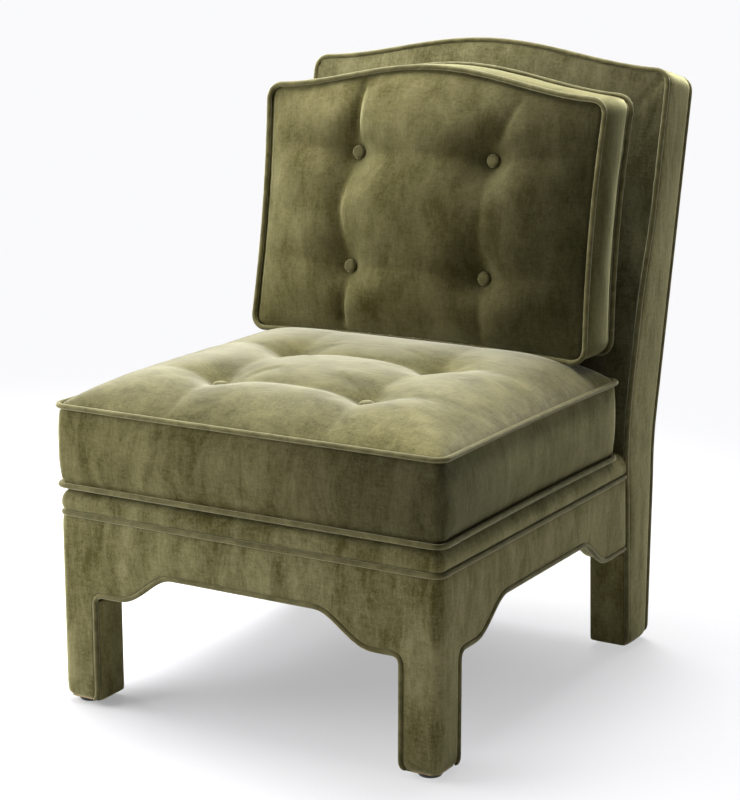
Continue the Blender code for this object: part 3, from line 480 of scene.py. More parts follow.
def round_base(along, z, out):
    """Point of the base: along its front from the middle and round to its right side, or left if negative."""
    reach = np.abs(along)
    turn = np.clip((reach - front_flat) / base_corner, 0, np.pi / 2)
    radius = base_corner + out
    x = np.minimum(reach, front_flat) + radius * np.sin(turn)
    y = front + base_corner - radius * np.cos(turn) + np.maximum(reach - side_turn, 0)
    return np.stack([np.sign(along) * x, y, z], axis=-1)


def along_side(y):
    """The same measure for a place on the right side."""
    return side_turn + y - front - base_corner


back_foot = front + 0.613
leg_kick = math.radians(3.35)
bend_start = 0.270


def drawn_back(y, z):
    """Where a place near the rear of a side lies when the cover is drawn on to the leaning back."""
    lap, draw_length = 0.0008, 0.06
    lean = back_foot - math.tan(leg_kick) * np.minimum(z, bend_start) + lap - base_rear
    return y + np.clip((y - base_rear) / draw_length + 1, 0, 1) * lean


tuck = 0.0016
cover_top = rail_top + 0.0024
hem_x = spread(tuck - leg_inner, leg_inner - tuck, 0.006, True, True)
hem_y = spread(leg_rear + tuck, base_rear, 0.006, hooked_low=True)
leg_ends = leg_inner - tuck, along_side(leg_rear + tuck)
leg_along = np.concatenate([
    leg_ends[0] + rim_rows,
    np.linspace(leg_ends[0] + rim_end, front_flat, 7),
    np.linspace(front_flat, side_turn, 9)[1:],
    np.linspace(side_turn, leg_ends[1] - rim_end, 7)[1:],
    leg_ends[1] - rim_rows[::-1],
])
hem_foot = fillet_foot - tuck
free_edges = [
    np.stack([hem_x, front_scallop(hem_x, tuck)], axis=1),
    np.array([(leg_ends[0], hem_foot), (leg_ends[0], sole), (leg_ends[1], sole), (leg_ends[1], hem_foot)]),
    np.stack([along_side(hem_y), side_scallop(hem_y, tuck)], axis=1),
    np.array([(0, cover_top), (along_side(base_rear), cover_top), (along_side(base_rear), shoulder)]),
]
wadding_rise = 0.0012
wadding_slope = 0.022
upper, lower = 24, 22
panels = [(hem_x, front_scallop(hem_x, tuck), 0)]
for sign in (1, -1):
    panels.append((sign * leg_along, np.full(len(leg_along), hem_foot), lower))
    panels.append((sign * along_side(hem_y), side_scallop(hem_y, tuck), 0))
base_points, base_faces = [], []
for along, feet, lower_rows in panels:
    rows = upper + lower_rows
    heights = np.concatenate([column_heights(foot, cover_top, upper, lower_rows) for foot in feet])
    flat = np.stack([np.repeat(along, rows), heights], axis=1)
    off = from_edges(np.abs(flat), free_edges)
    back_along = along_side(drawn_back(np.abs(flat[:, 0]) - along_side(0), flat[:, 1]))
    if lower_rows:
        from_middle = 2 * (back_along - leg_ends[0]) / (leg_ends[1] - leg_ends[0]) - 1
        back_along = back_along - from_middle**3 * turned_under(flat[:, 1])
    flat[:, 0] = np.copysign(back_along, flat[:, 0])
    base_faces += quads(len(along), rows, first=len(base_points))
    out = wadding_rise * eased(off / wadding_slope) - turned_in(off, flat[:, 1])
    base_points += round_base(flat[:, 0], flat[:, 1], out).tolist()
base_cover = merged(cloth_piece("base_cover_velvet", base_points, base_faces, frame_velvet))
thickened(base_cover, cover_thick, roll=0.0012)
settle_on(base_cover, "frame", "olive_velvet", "base_cover")


# Leg sleeves: velvet folded round the inner faces of the four legs, slip-stitched behind the welts.
# They stop under the shoulder of the aprons.
welt_radius = 0.004
ease = 0.0003
welt_proud = 0.001
sleeve = 2 * welt_radius
sleeve_back = 2 * welt_radius - welt_proud + ease
sleeve_top = fillet_foot - ease


def rounded_ring(corners, radius):
    """Outline of (x, y) corners with each corner rounded."""
    ring = []
    steps = 4
    count = len(corners)
    for i in range(count):
        here, before, after = (np.array(corners[(i + k) % count], float) for k in (0, -1, 1))
        into, out = before - here, after - here
        reach = min(radius, np.linalg.norm(into) * 0.45, np.linalg.norm(out) * 0.45)
        start = here + into / np.linalg.norm(into) * reach
        stop = here + out / np.linalg.norm(out) * reach
        for share in np.linspace(0, 1, steps):
            ring.append((1 - share) ** 2 * start + 2 * share * (1 - share) * here + share**2 * stop)
    return np.array(ring)


def drawn_out(name, ring, heights, lay):
    """A closed sleeve of one outline drawn up through heights, with slightly rounded ends."""
    centre = ring.mean(axis=0)
    levels = [(heights[0], 0.0030), (heights[0] + 0.0010, 0.0014), (heights[0] + 0.0030, 0.0003)]
    levels += [(h, 0) for h in heights[1:-1]] + [(heights[-1] - 0.0008, 0.0003), (heights[-1], 0.0012)]
    points = []
    for height, inset in levels:
        inward = centre - ring
        inward /= np.maximum(np.linalg.norm(inward, axis=1), 1e-6)[:, None]
        points += [lay(x, y, height) for x, y in ring + inward * inset]
    return cloth_piece(name, points, capped(len(levels), len(ring)), sleeve_velvet_painted_light)


def plumb(x, y, z):
    return x, y, z


front_sleeve = [
    (leg_inner, front + sleeve_back), (leg_inner, leg_rear), (half_base - sleeve_back, leg_rear),
    (half_base - sleeve_back, leg_rear + sleeve), (leg_inner - sleeve, leg_rear + sleeve),
    (leg_inner - sleeve, front + sleeve_back),
]
sleeve_heights = np.linspace(sole, sleeve_top, 22)
# Painted light: the sleeves and sole patches take a lighter copy of the velvet, for faces that lie in shade.
sleeve_velvet_painted_light = velvet("olive_velvet_sleeve_painted_light", (0.085, 0.074, 0.019), (0.240, 0.216, 0.095))
back_width = 0.630
back_thick = 0.096
foot_taper = 0.020
back_rake = math.radians(11.85)
bend_length = 0.120
back_fullness = 0.013
full_start, full_run = 0.22, 0.22
thin_start, thin_run = 0.55, 0.15
full_depth = 0.070
taper_start, taper_run = 0.020, 0.056


def on_back(x, depth, reach):
    """Points of the back: x across, depth behind its front face, reach up that face from the floor."""
    x, depth, reach = np.broadcast_arrays(*(np.asarray(value, float) for value in (x, depth, reach)))
    rate = (leg_kick + back_rake) / bend_length
    low = np.minimum(reach, bend_start)
    angle = rate * np.clip(reach - bend_start, 0, bend_length) - leg_kick
    straight = np.maximum(reach - bend_start - bend_length, 0)
    kicked = math.tan(leg_kick) * low
    y = (math.cos(leg_kick) - np.cos(angle)) / rate - kicked + math.sin(back_rake) * straight
    z = (np.sin(angle) + math.sin(leg_kick)) / rate + low + math.cos(back_rake) * straight
    lean = np.maximum(angle, 0)
    swelling, thinning = eased((reach - full_start) / full_run), eased((reach - thin_start) / thin_run)
    full = back_fullness * swelling * (1 - thinning)
    depth = depth - full * (1 - np.clip(depth / full_depth, 0, 1))
    tapered = np.clip((depth - taper_start) / taper_run, 0, 1)
    depth = depth - tapered * foot_taper * np.maximum(1 - reach / bend_start, 0)
    return np.stack([x, back_foot + y + np.cos(lean) * depth, z - np.sin(lean) * depth], axis=-1)


welt_sink = cover + ease - (welt_radius + ease) / math.sqrt(2)
welt_notch = welt_sink + welt_radius + ease
rear_sleeve = [
    (leg_inner - sleeve, 0), (back_width / 2 - welt_notch, 0), (back_width / 2 - welt_notch, cover),
    (leg_inner, cover), (leg_inner, back_thick - sleeve_back), (leg_inner - sleeve, back_thick - sleeve_back),
]
for leg, corners, lay in (("front_leg", front_sleeve, plumb), ("back_leg", rear_sleeve, on_back)):
    for side, sign in hands.items():
        ring = rounded_ring(corners, 0.0035) * (sign, 1)
        piece = drawn_out(f"{leg}_sleeve_velvet_{side}", ring, sleeve_heights, lay)
        settle_on(piece, "frame", "olive_velvet", f"{leg}_sleeve_{side}")


# Sole patches: the velvet of each leg folded under its foot and tacked flat round the glide.
# They close the end grain of the legs.
def sole_patch(name, sign, outer, near, far, lay):
    """Thin patch over a leg's end, from the sleeve to the outer face and between two depths."""
    inner = leg_inner - sole_out
    corners = np.array([(inner, near), (outer, near), (outer, far), (inner, far)]) * (sign, 1)
    ring = rounded_ring(corners, 0.007)
    points = [lay(x, y, sole - drop) for drop in (0.0009, 0.0001) for x, y in ring]
    settle_on(cloth_piece(name, points, capped(2, len(ring)), sleeve_velvet_painted_light), "frame", "olive_velvet")


sole_out = 0.004
sole_in = 0.006
back_outer, back_far = back_width / 2 - sole_in, back_thick - sole_in
for side, sign in hands.items():
    front_outer, front_near = half_base - sole_in, front + sole_in
    sole_patch(f"front_sole_velvet_{side}", sign, front_outer, front_near, leg_rear + sole_out, plumb)
    sole_patch(f"rear_sole_velvet_{side}", sign, back_outer, 0.004, back_far, on_back)


# Welts of the base: cord in bias-cut velvet, sewn into the seam under the deck and along the aprons' edges.
# The apron welts run down the inner edges of the legs to the sole.
def welting(name, deep, light):
    """Velvet cut on the bias and drawn over cord: the pile lies open along the crest."""
    material, shader = new_finish(name, 0.8, 0.18)
    napped(shader, (0.95, 0.92, 0.62))
    where = place_on(material)
    bias = ribs(material, "DIAGONAL", 150.0, 3.0)
    # A random mottle of the pile, the velvet's own tone.
    nap_and_painted_light = speckle(material, where, 55.0, 3.0, 0.6)
    pile = speckle(material, where, 900.0, 2.0)
    lie = add_node(material, "Math", {0: bias, 1: 0.16, 2: nap_and_painted_light}, operation="MULTIPLY_ADD").outputs[0]
    link(material, shade_between(material, lie, [(0.4, deep), (0.75, light)]), shader, "Base Color")
    normal = raise_by(material, bias, 0.0004, 0.5)
    link(material, raise_by(material, pile, 0.0005, 0.6, normal), shader, "Normal")
    return material


welt_velvet = welting("olive_velvet_welt", (0.056, 0.049, 0.014), (0.118, 0.105, 0.041))


def evenly(points, step, closed):
    """The same line with its points spaced evenly."""
    points = np.asarray(points, float)
    if closed:
        points = np.vstack([points, points[:1]])
    lengths = np.concatenate([[0], np.cumsum(np.linalg.norm(np.diff(points, axis=0), axis=1))])
    count = max(int(lengths[-1] / step), 4)
    places = np.linspace(0, lengths[-1], count + 1)
    places = places[:-1] if closed else places
    return np.stack([np.interp(places, lengths, points[:, k]) for k in range(3)], axis=1)


def smoothed(points, passes, closed):
    """Takes the last corners out of a line, keeping its ends."""
    points = points.copy()
    for _ in range(passes):
        before, after = np.roll(points, 1, axis=0), np.roll(points, -1, axis=0)
        moved = points * 0.5 + (before + after) * 0.25
        if not closed:
            moved[0], moved[-1] = points[0], points[-1]
        points = moved
    return points


def welt(name, line, closed=False):
    """Cord in its sewn cover along a line, a little uneven as hand-sewn welt is."""
    step, around = 0.0035, 12
    end_run, end_round = 2.6, 0.93
    uneven, lumps, slack = 0.035, 70, 0.01
    line = smoothed(evenly(line, step, closed), 2, closed)
    count = len(line)
    if closed:
        run = np.roll(line, -1, axis=0) - np.roll(line, 1, axis=0)
    else:
        run = np.gradient(line, axis=0)
    run /= np.linalg.norm(run, axis=1)[:, None]
    side = np.cross(run[0], (0.0, 0.0, 1.0) if abs(run[0][2]) < 0.9 else (0.0, 1.0, 0.0))
    turns = np.arange(around) * 2 * math.pi / around
    lengths = np.arange(count) * step
    from_end = np.minimum(lengths, lengths[-1] - lengths)
    rounding = np.ones(count)
    if not closed:
        rounding = np.sqrt(1 - (1 - np.minimum(from_end / (end_run * welt_radius), 1)) ** 2 * end_round)
    points = []
    for i in range(count):
        side = side - run[i] * side.dot(run[i])
        side /= np.linalg.norm(side)
        lift = np.cross(run[i], side)
        swell = welt_radius * (1 + uneven * noise.noise(Vector(line[i] * lumps)) - slack) * rounding[i]
        ring = np.outer(np.cos(turns), side) + np.outer(np.sin(turns), lift)
        points += (line[i] + swell * ring).tolist()
    if not closed:
        return cloth_piece(name, points, capped(count, around), welt_velvet)
    last = (count - 1) * around
    first_of_last = np.array(points[last])
    nearest = min(range(around), key=lambda k: np.linalg.norm(np.array(points[k]) - first_of_last))
    faces = quads(count, around, closed=True)
    for k in range(around):
        after = (k + 1) % around
        faces.append((last + k, last + after, (nearest + k + 1) % around, (nearest + k) % around))
    return cloth_piece(name, points, faces, welt_velvet)


def beside(line, distance):
    """A line of (x, y) moved to its right by a distance."""
    line = np.asarray(line, float)
    run = np.gradient(line, axis=0)
    run /= np.maximum(np.linalg.norm(run, axis=1), 1e-9)[:, None]
    return line + np.stack([run[:, 1], -run[:, 0]], axis=1) * distance


def scalloped_line(places, heights, foot_low, foot_high):
    """Flat line of an apron's lower edge with the leg edges that it runs down into."""
    line = np.stack([places, heights], axis=1)
    turn = np.linspace(np.pi / 2, 0, 9)
    straight = np.linspace(turn_level + foot_turn, fillet_foot, 24)[1:-1]
    down = np.concatenate([turn_level + foot_turn * (1 - np.sin(turn)), straight])
    under = np.concatenate([foot_turn * (1 - np.cos(turn)), np.zeros(len(straight))])
    if foot_low:
        line = np.vstack([np.stack([places[0] - under, down], axis=1), line])
    if foot_high:
        line = np.vstack([line, np.stack([places[-1] + under, down], axis=1)[::-1]])
    return line


base_welt_height = 0.288
base_welt_end = along_side(base_rear + 0.0045)
base_places = np.concatenate([[-base_welt_end], np.linspace(-side_turn, side_turn, 200), [base_welt_end]])
base_welt_line = round_base(base_places, np.full(len(base_places), base_welt_height), welt_radius - cover)
settle_on(welt("base_welt_cord", base_welt_line), "frame", "olive_welt", "base_welt")

apron_x = spread(-leg_inner, leg_inner, 0.006, True, True)
apron_y = spread(leg_rear, base_rear, 0.006, hooked_low=True)
hang = welt_radius + ease
welt_depth = welt_radius - welt_proud - 0.0012
front_hung = beside(scalloped_line(apron_x, front_scallop(apron_x), True, True), hang)
front_line = np.insert(front_hung, 1, front + welt_depth, axis=1)
settle_on(welt("front_apron_welt_cord", front_line), "frame", "olive_welt", "front_apron_welt")
rear_line = on_back(front_hung[:, 0], back_thick - welt_depth, front_hung[:, 1])
settle_on(welt("rear_apron_welt_cord", rear_line), "frame", "olive_welt", "rear_apron_welt")
side_hung = beside(scalloped_line(apron_y, side_scallop(apron_y), True, False), hang)
side_hung[:, 0] = drawn_back(side_hung[:, 0], side_hung[:, 1])
for side, sign in hands.items():
    side_line = np.insert(side_hung, 0, sign * (half_base - welt_depth), axis=1)
    piece = welt(f"side_apron_welt_cord_{side}", side_line)
    settle_on(piece, "frame", "olive_welt", f"side_apron_welt_{side}")


# Hems: the lower edges of the covers, turned under the rails behind the welts and tacked inside.
# A strip of the same velvet closes the seat back rail below the dust cover.
hem_top = cambric_low[2] - 0.0006
rear_hem_top = 0.262


def hem(name, profiles):
    """Turned-under edge of a cover, from its profile at each place along a rail."""
    piece = cloth_piece(name, profiles, quads(len(profiles), len(profiles[0])), frame_velvet)
    return settle_on(thickened(piece, 0.0010, roll=0.0003), "frame", "olive_velvet")


def under_rail(outer, inner, edge, top):
    """Profile of a hem as (place across the rail, height): under the rail, round its arris and up inside."""
    inward = math.copysign(1, inner - outer)
    lip = inner + 0.0008 * inward
    return [
        (outer, edge - 0.0006), (inner - 0.0030 * inward, edge - 0.0006),
        (inner - 0.0006 * inward, edge - 0.0001), (lip, edge + 0.0014),
        (lip, (edge + top) / 2), (lip, max(top, edge + 0.004)),
    ]


welt_back = cover + 0.0016
rail_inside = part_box("front_rail")[1][1]
hem("front_hem_velvet", [
    [(x, y, z) for y, z in under_rail(front + welt_back, rail_inside, edge, hem_top)]
    for x, edge in zip(apron_x, front_scallop(apron_x))
])
rear_welt_back, apron_rail_inside = back_thick - welt_back, 0.0670
hem("rear_hem_velvet", [
    [on_back(x, *place) for place in under_rail(rear_welt_back, apron_rail_inside, edge, rear_hem_top)]
    for x, edge in zip(apron_x, front_scallop(apron_x))
])
rail_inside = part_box("side_rail_right")[0][0]
hem_places = np.append(apron_y, base_rear + 0.012)
for side, sign in hands.items():
    hem(f"side_hem_velvet_{side}", [
        [(sign * x, y, z) for x, z in under_rail(half_base - welt_back, rail_inside, edge, hem_top)]
        for y, edge in zip(hem_places, side_scallop(np.minimum(hem_places, base_rear)))
    ])
rail_low, rail_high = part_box("seat_back_rail")
rail_middle = (rail_low[1] + rail_high[1]) / 2
strip = under_rail(rail_middle, rail_high[1], rail_low[2], rear_hem_top)[:0:-1]
strip += under_rail(rail_middle, rail_low[1], rail_low[2], hem_top)[1:]
strip_x = np.linspace(rail_low[0] + 0.001, rail_high[0] - 0.001, 60)
hem("seat_back_rail_hem_velvet", [[(x, y, z) for y, z in strip] for x in strip_x])


# Deck: a foam pad on the webbing, covered in velvet that rolls over its front and side edges.
# The seat cushion lies on it, and the base welt closes its lower seam.
# A short seam takes it in at each front corner.
deck_low, deck_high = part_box("deck_cover")
deck_bottom, deck_top = deck_low[2], deck_high[2]
deck_rear = base_rear + 0.0035
deck_roll = 0.0222
tight_corner = 0.003
deck_puff = 0.0016
seam_deep, seam_wide, seam_span = 0.0016, 0.0016, 0.008
seam_rise, seam_fade = 0.006, 0.010
deck_profile = [
    (0.0030, deck_bottom - 0.0028), (0.0022, deck_bottom - 0.0006), (-0.0002, deck_bottom + 0.0030),
    (-deck_puff, deck_bottom + 0.0070),
]
for turn in np.linspace(0, np.pi / 2, 12):
    inset = deck_roll * (1 - math.cos(turn)) - deck_puff * math.cos(turn)
    deck_profile.append((inset, deck_top - deck_roll * (1 - math.sin(turn))))
corner_turns = np.linspace(0, np.pi / 2, 25)
side_places = np.linspace(0, 1, 70)[1:]
front_places = np.linspace(-1, 1, 90)[1:-1]
deck_points = []
for inset, height in deck_profile:
    radius = max(base_corner - inset, tight_corner)
    level, turn_y = half_base - inset - radius, front + inset + radius
    off_seam = (corner_turns - np.pi / 4) * max(radius, seam_span)
    seam = seam_deep * np.exp(-((off_seam / seam_wide) ** 2))
    drawn = radius - seam * eased((height - deck_bottom) / seam_rise) * eased((deck_top - height) / seam_fade)
    right = np.stack([level + drawn * np.sin(corner_turns), turn_y - drawn * np.cos(corner_turns)], axis=1)
    side_x = np.full_like(side_places, level + radius)
    back = np.stack([side_x, turn_y + side_places * (deck_rear - turn_y)], axis=1)
    across = np.stack([level * front_places, np.full_like(front_places, turn_y - radius)], axis=1)
    half_ring = np.vstack([right, back])
    ring = np.vstack([half_ring[::-1] * (-1, 1), across, half_ring])
    deck_points += [(x, y, height) for x, y in ring]
count, rows = len(ring), len(deck_profile)
deck_faces = quads(rows, count)
deck_faces.append(tuple(range((rows - 1) * count, rows * count)))
deck_faces.append(tuple(range(count))[::-1])
rear_edge = [row * count for row in range(rows)]
deck_faces.append(tuple(rear_edge[::-1]) + tuple(index + count - 1 for index in rear_edge))
deck = cloth_piece("deck_velvet", deck_points, deck_faces, frame_velvet)
settle_on(deck, "frame", "olive_velvet", "deck_cover", "deck_pad")


# Inside back: foam on the plywood board under a crowned velvet panel, with a dart at each upper corner.
# It is sewn to the front welt round its sides and crest.
shoulder_reach = 0.911
crest_rise = 0.037
back_corner = 0.022
back_crown = 0.018


def crest(x):
    return shoulder_reach + crest_rise * (1 + np.cos(np.pi * x / (back_width / 2))) / 2


def back_outline(inset):
    """(x, reach) from the left foot up, round the shoulders, over the crest and down to the right foot."""
    half = back_width / 2 - inset
    radius = back_corner - inset
    level = half - radius
    over = np.linspace(0, level, 40)
    right = np.stack([over, crest(over) - inset], axis=1)
    turn = np.linspace(0, np.pi / 2, 9)[1:]
    fall = radius * (1 - np.cos(turn))
    shoulder_turn = np.stack([level + radius * np.sin(turn), crest(level) - inset - fall], axis=1)
    reaches = rows_from(sole, shoulder_turn[-1][1], 124)[-2::-1]
    down = np.stack([np.full(len(reaches), half), reaches], axis=1)
    right = np.vstack([right, shoulder_turn, down])
    return np.vstack([(right * (-1, 1))[:0:-1], right])


def crest_columns(inset, count):
    """Columns across a panel of the back, with the height of its upper edge at each."""
    half = back_width / 2 - inset
    radius = back_corner - inset
    level = half - radius
    inner = np.linspace(-level, level, count)
    turn = np.linspace(0, np.pi / 2, 7)[1:]
    outer = level + radius * np.sin(turn)
    x = np.concatenate([-outer[::-1], inner, outer])
    fall = radius * (1 - np.cos(turn))
    ends = crest(level) - inset - fall
    return x, np.concatenate([ends[::-1], crest(inner) - inset, ends])


panel_x, panel_top = crest_columns(welt_notch, 84)
panel_half = panel_x[-1]
panel_rows = 100
shares = np.linspace(0, 1, panel_rows)
dart_length, dart_deep, dart_wide = 0.075, 0.0022, 0.0045
dart_slope, dart_fade = 0.8, 0.04
dart_edge, dart_lap = panel_half - 0.004, 0.004
dart_crest = crest(panel_half - 0.02) - welt_notch - 0.010
inside_points = []
for x, top in zip(panel_x, panel_top):
    reach = deck_bottom + shares * (top - deck_bottom)
    crown = back_crown * (1 - abs(x / panel_half) ** 3) * (1 - np.abs(2 * shares - 1) ** 3)
    corner_x = dart_edge - abs(x)
    corner_z = dart_crest - reach
    off_dart = (corner_x - dart_slope * corner_z) / math.hypot(1, dart_slope)
    down_dart = np.hypot(corner_x, corner_z)
    fading = eased((dart_length - down_dart) / dart_fade)
    dart = dart_deep * np.exp(-((off_dart / dart_wide) ** 2)) * fading
    dart = dart * (corner_z > -dart_lap)
    inside_points += on_back(np.full(panel_rows, x), dart - crown, reach).tolist()
# Painted light: the colour is up to 1.6 times lighter on the left, easing back to its own by x = 0.26.
inside_velvet = velvet(
    "olive_velvet_inside_back", (0.034, 0.030, 0.009), (0.110, 0.101, 0.050), sheen=(0.95, 0.92, 0.66),
    nap_and_painted_light=((1, 0, 0), (-0.05, 0.26), (1.6, 1.0)),
)
inside_back = cloth_piece("inside_back_velvet", inside_points, quads(len(panel_x), panel_rows), inside_velvet)
thickened(inside_back, cover, roll=0.0016)
settle_on(inside_back, "frame", "olive_velvet", "inside_back_cover", "back_foam")


# Back boxing: a velvet band over wadding, from one back foot over the crest to the other.
# Welts on both its edges join it to the inside back and the outside back.
band_line = back_outline(0)
band_depths = rows_from(welt_notch, back_thick / 2, 11)
band_depths = np.concatenate([band_depths, back_thick - band_depths[-2::-1]])
band_out = np.gradient(band_line, axis=0)
band_out /= np.linalg.norm(band_out, axis=1)[:, None]
band_out = np.stack([-band_out[:, 1], band_out[:, 0]], axis=1)
band_swell = 0.0016
band_points = []
for depth in band_depths:
    middle = 1 - abs(2 * (depth - welt_notch) / (back_thick - 2 * welt_notch) - 1) ** 4
    off = min(depth - welt_notch, back_thick - welt_notch - depth)
    swelled = band_line + band_out * (band_swell * middle - turned_in(off, band_line[:, 1]))[:, None]
    swelled[[0, -1], 1] = sole
    band_points += on_back(swelled[:, 0], depth, swelled[:, 1]).tolist()
boxing = cloth_piece("back_boxing_velvet", band_points, quads(len(band_depths), len(band_line)), frame_velvet)
thickened(boxing, cover_thick, roll=0.0016)
settle_on(boxing, "frame", "olive_velvet", "back_boxing")


# Outside back: one flat velvet panel from the crest down over the rear apron and the backs of the legs.
# It is blind-stitched to the rear welt, and its lower edge has the aprons' scallop.
outside_x, outside_top = crest_columns(welt_notch, 2)
outer_x = outside_x[outside_x >= leg_inner]
leg_x = np.concatenate([np.linspace(leg_ends[0], outer_x[0], 6, endpoint=False), outer_x])
top_at = {round(float(x), 6): top for x, top in zip(outside_x, outside_top)}
outside_half = back_width / 2 - welt_notch


def outside_crest(x):
    return np.array([top_at.get(round(float(value), 6), crest(value) - welt_notch) for value in np.abs(x)])


outside_panels = [(hem_x, front_scallop(hem_x, tuck), 0)]
for sign in (1, -1):
    outside_panels.append((sign * leg_x, np.full(len(leg_x), hem_foot), 20))
crest_places = np.linspace(0, outside_half, 30)
outside_edges = [
    np.stack([hem_x, front_scallop(hem_x, tuck)], axis=1),
    np.array([
        (leg_ends[0], hem_foot), (leg_ends[0], sole), (outside_half, sole),
        (outside_half, shoulder_reach - 0.02),
    ]),
    np.stack([crest_places, crest(crest_places) - welt_notch], axis=1),
]
outside_rows = 110
outside_rise, outside_slope = 0.0022, 0.05
outside_points, outside_faces = [], []
for x, feet, lower_rows in outside_panels:
    flat = []
    for place, foot, top in zip(x, feet, outside_crest(x)):
        flat += [(place, height) for height in column_heights(foot, top, outside_rows, lower_rows)]
    flat = np.array(flat)
    off = from_edges(np.abs(flat), outside_edges)
    outside_faces += quads(len(x), outside_rows + lower_rows, first=len(outside_points))
    out = outside_rise * eased(off / outside_slope) - turned_in(off, flat[:, 1])
    if lower_rows:
        inner_share = np.clip((outside_half - np.abs(flat[:, 0])) / (outside_half - leg_ends[0]), 0, 1)
        flat[:, 0] += np.sign(flat[:, 0]) * inner_share**3 * turned_under(flat[:, 1])
    outside_points += on_back(flat[:, 0], back_thick + out, flat[:, 1]).tolist()
outside_back = merged(cloth_piece("outside_back_velvet", outside_points, outside_faces, frame_velvet))
thickened(outside_back, cover_thick, roll=0.0016)
settle_on(outside_back, "frame", "olive_velvet", "outside_back_cover")


# Welts of the back: one round its front edge and one round its rear edge, each from foot to foot.
# They are the same bias-cut velvet over cord as the welts of the base.
rim = back_outline(welt_sink)
rim = rim[rim[:, 1] > sole + 0.003]
rim[:, 0] -= np.sign(rim[:, 0]) * turned_under(rim[:, 1]) / 2
for edge, depth in (("front", welt_sink), ("rear", back_thick - welt_sink)):
    piece = welt(f"back_{edge}_welt_cord", on_back(rim[:, 0], depth, rim[:, 1]))
    settle_on(piece, "frame", "olive_welt", f"back_{edge}_welt")


# Seat cushion: a boxed velvet cover on a foam block, swelled between its seams and drawn down at four tufts.
# Each tuft is tied through to the underside, and the velvet gathers towards it.
def gather_depth(x, y, start, stop, deep, wide):
    """Depth of a gather from one place to another: two swells that meet in a crease."""
    start, stop = np.array(start), np.array(stop)
    run = stop - start
    share = np.clip(((x - start[0]) * run[0] + (y - start[1]) * run[1]) / (run @ run), 0, 1)
    off = np.hypot(x - start[0] - share * run[0], y - start[1] - share * run[1])
    first, last = deep
    return (first + (last - first) * share) * (1 - np.minimum(off / wide, 1)) ** 2


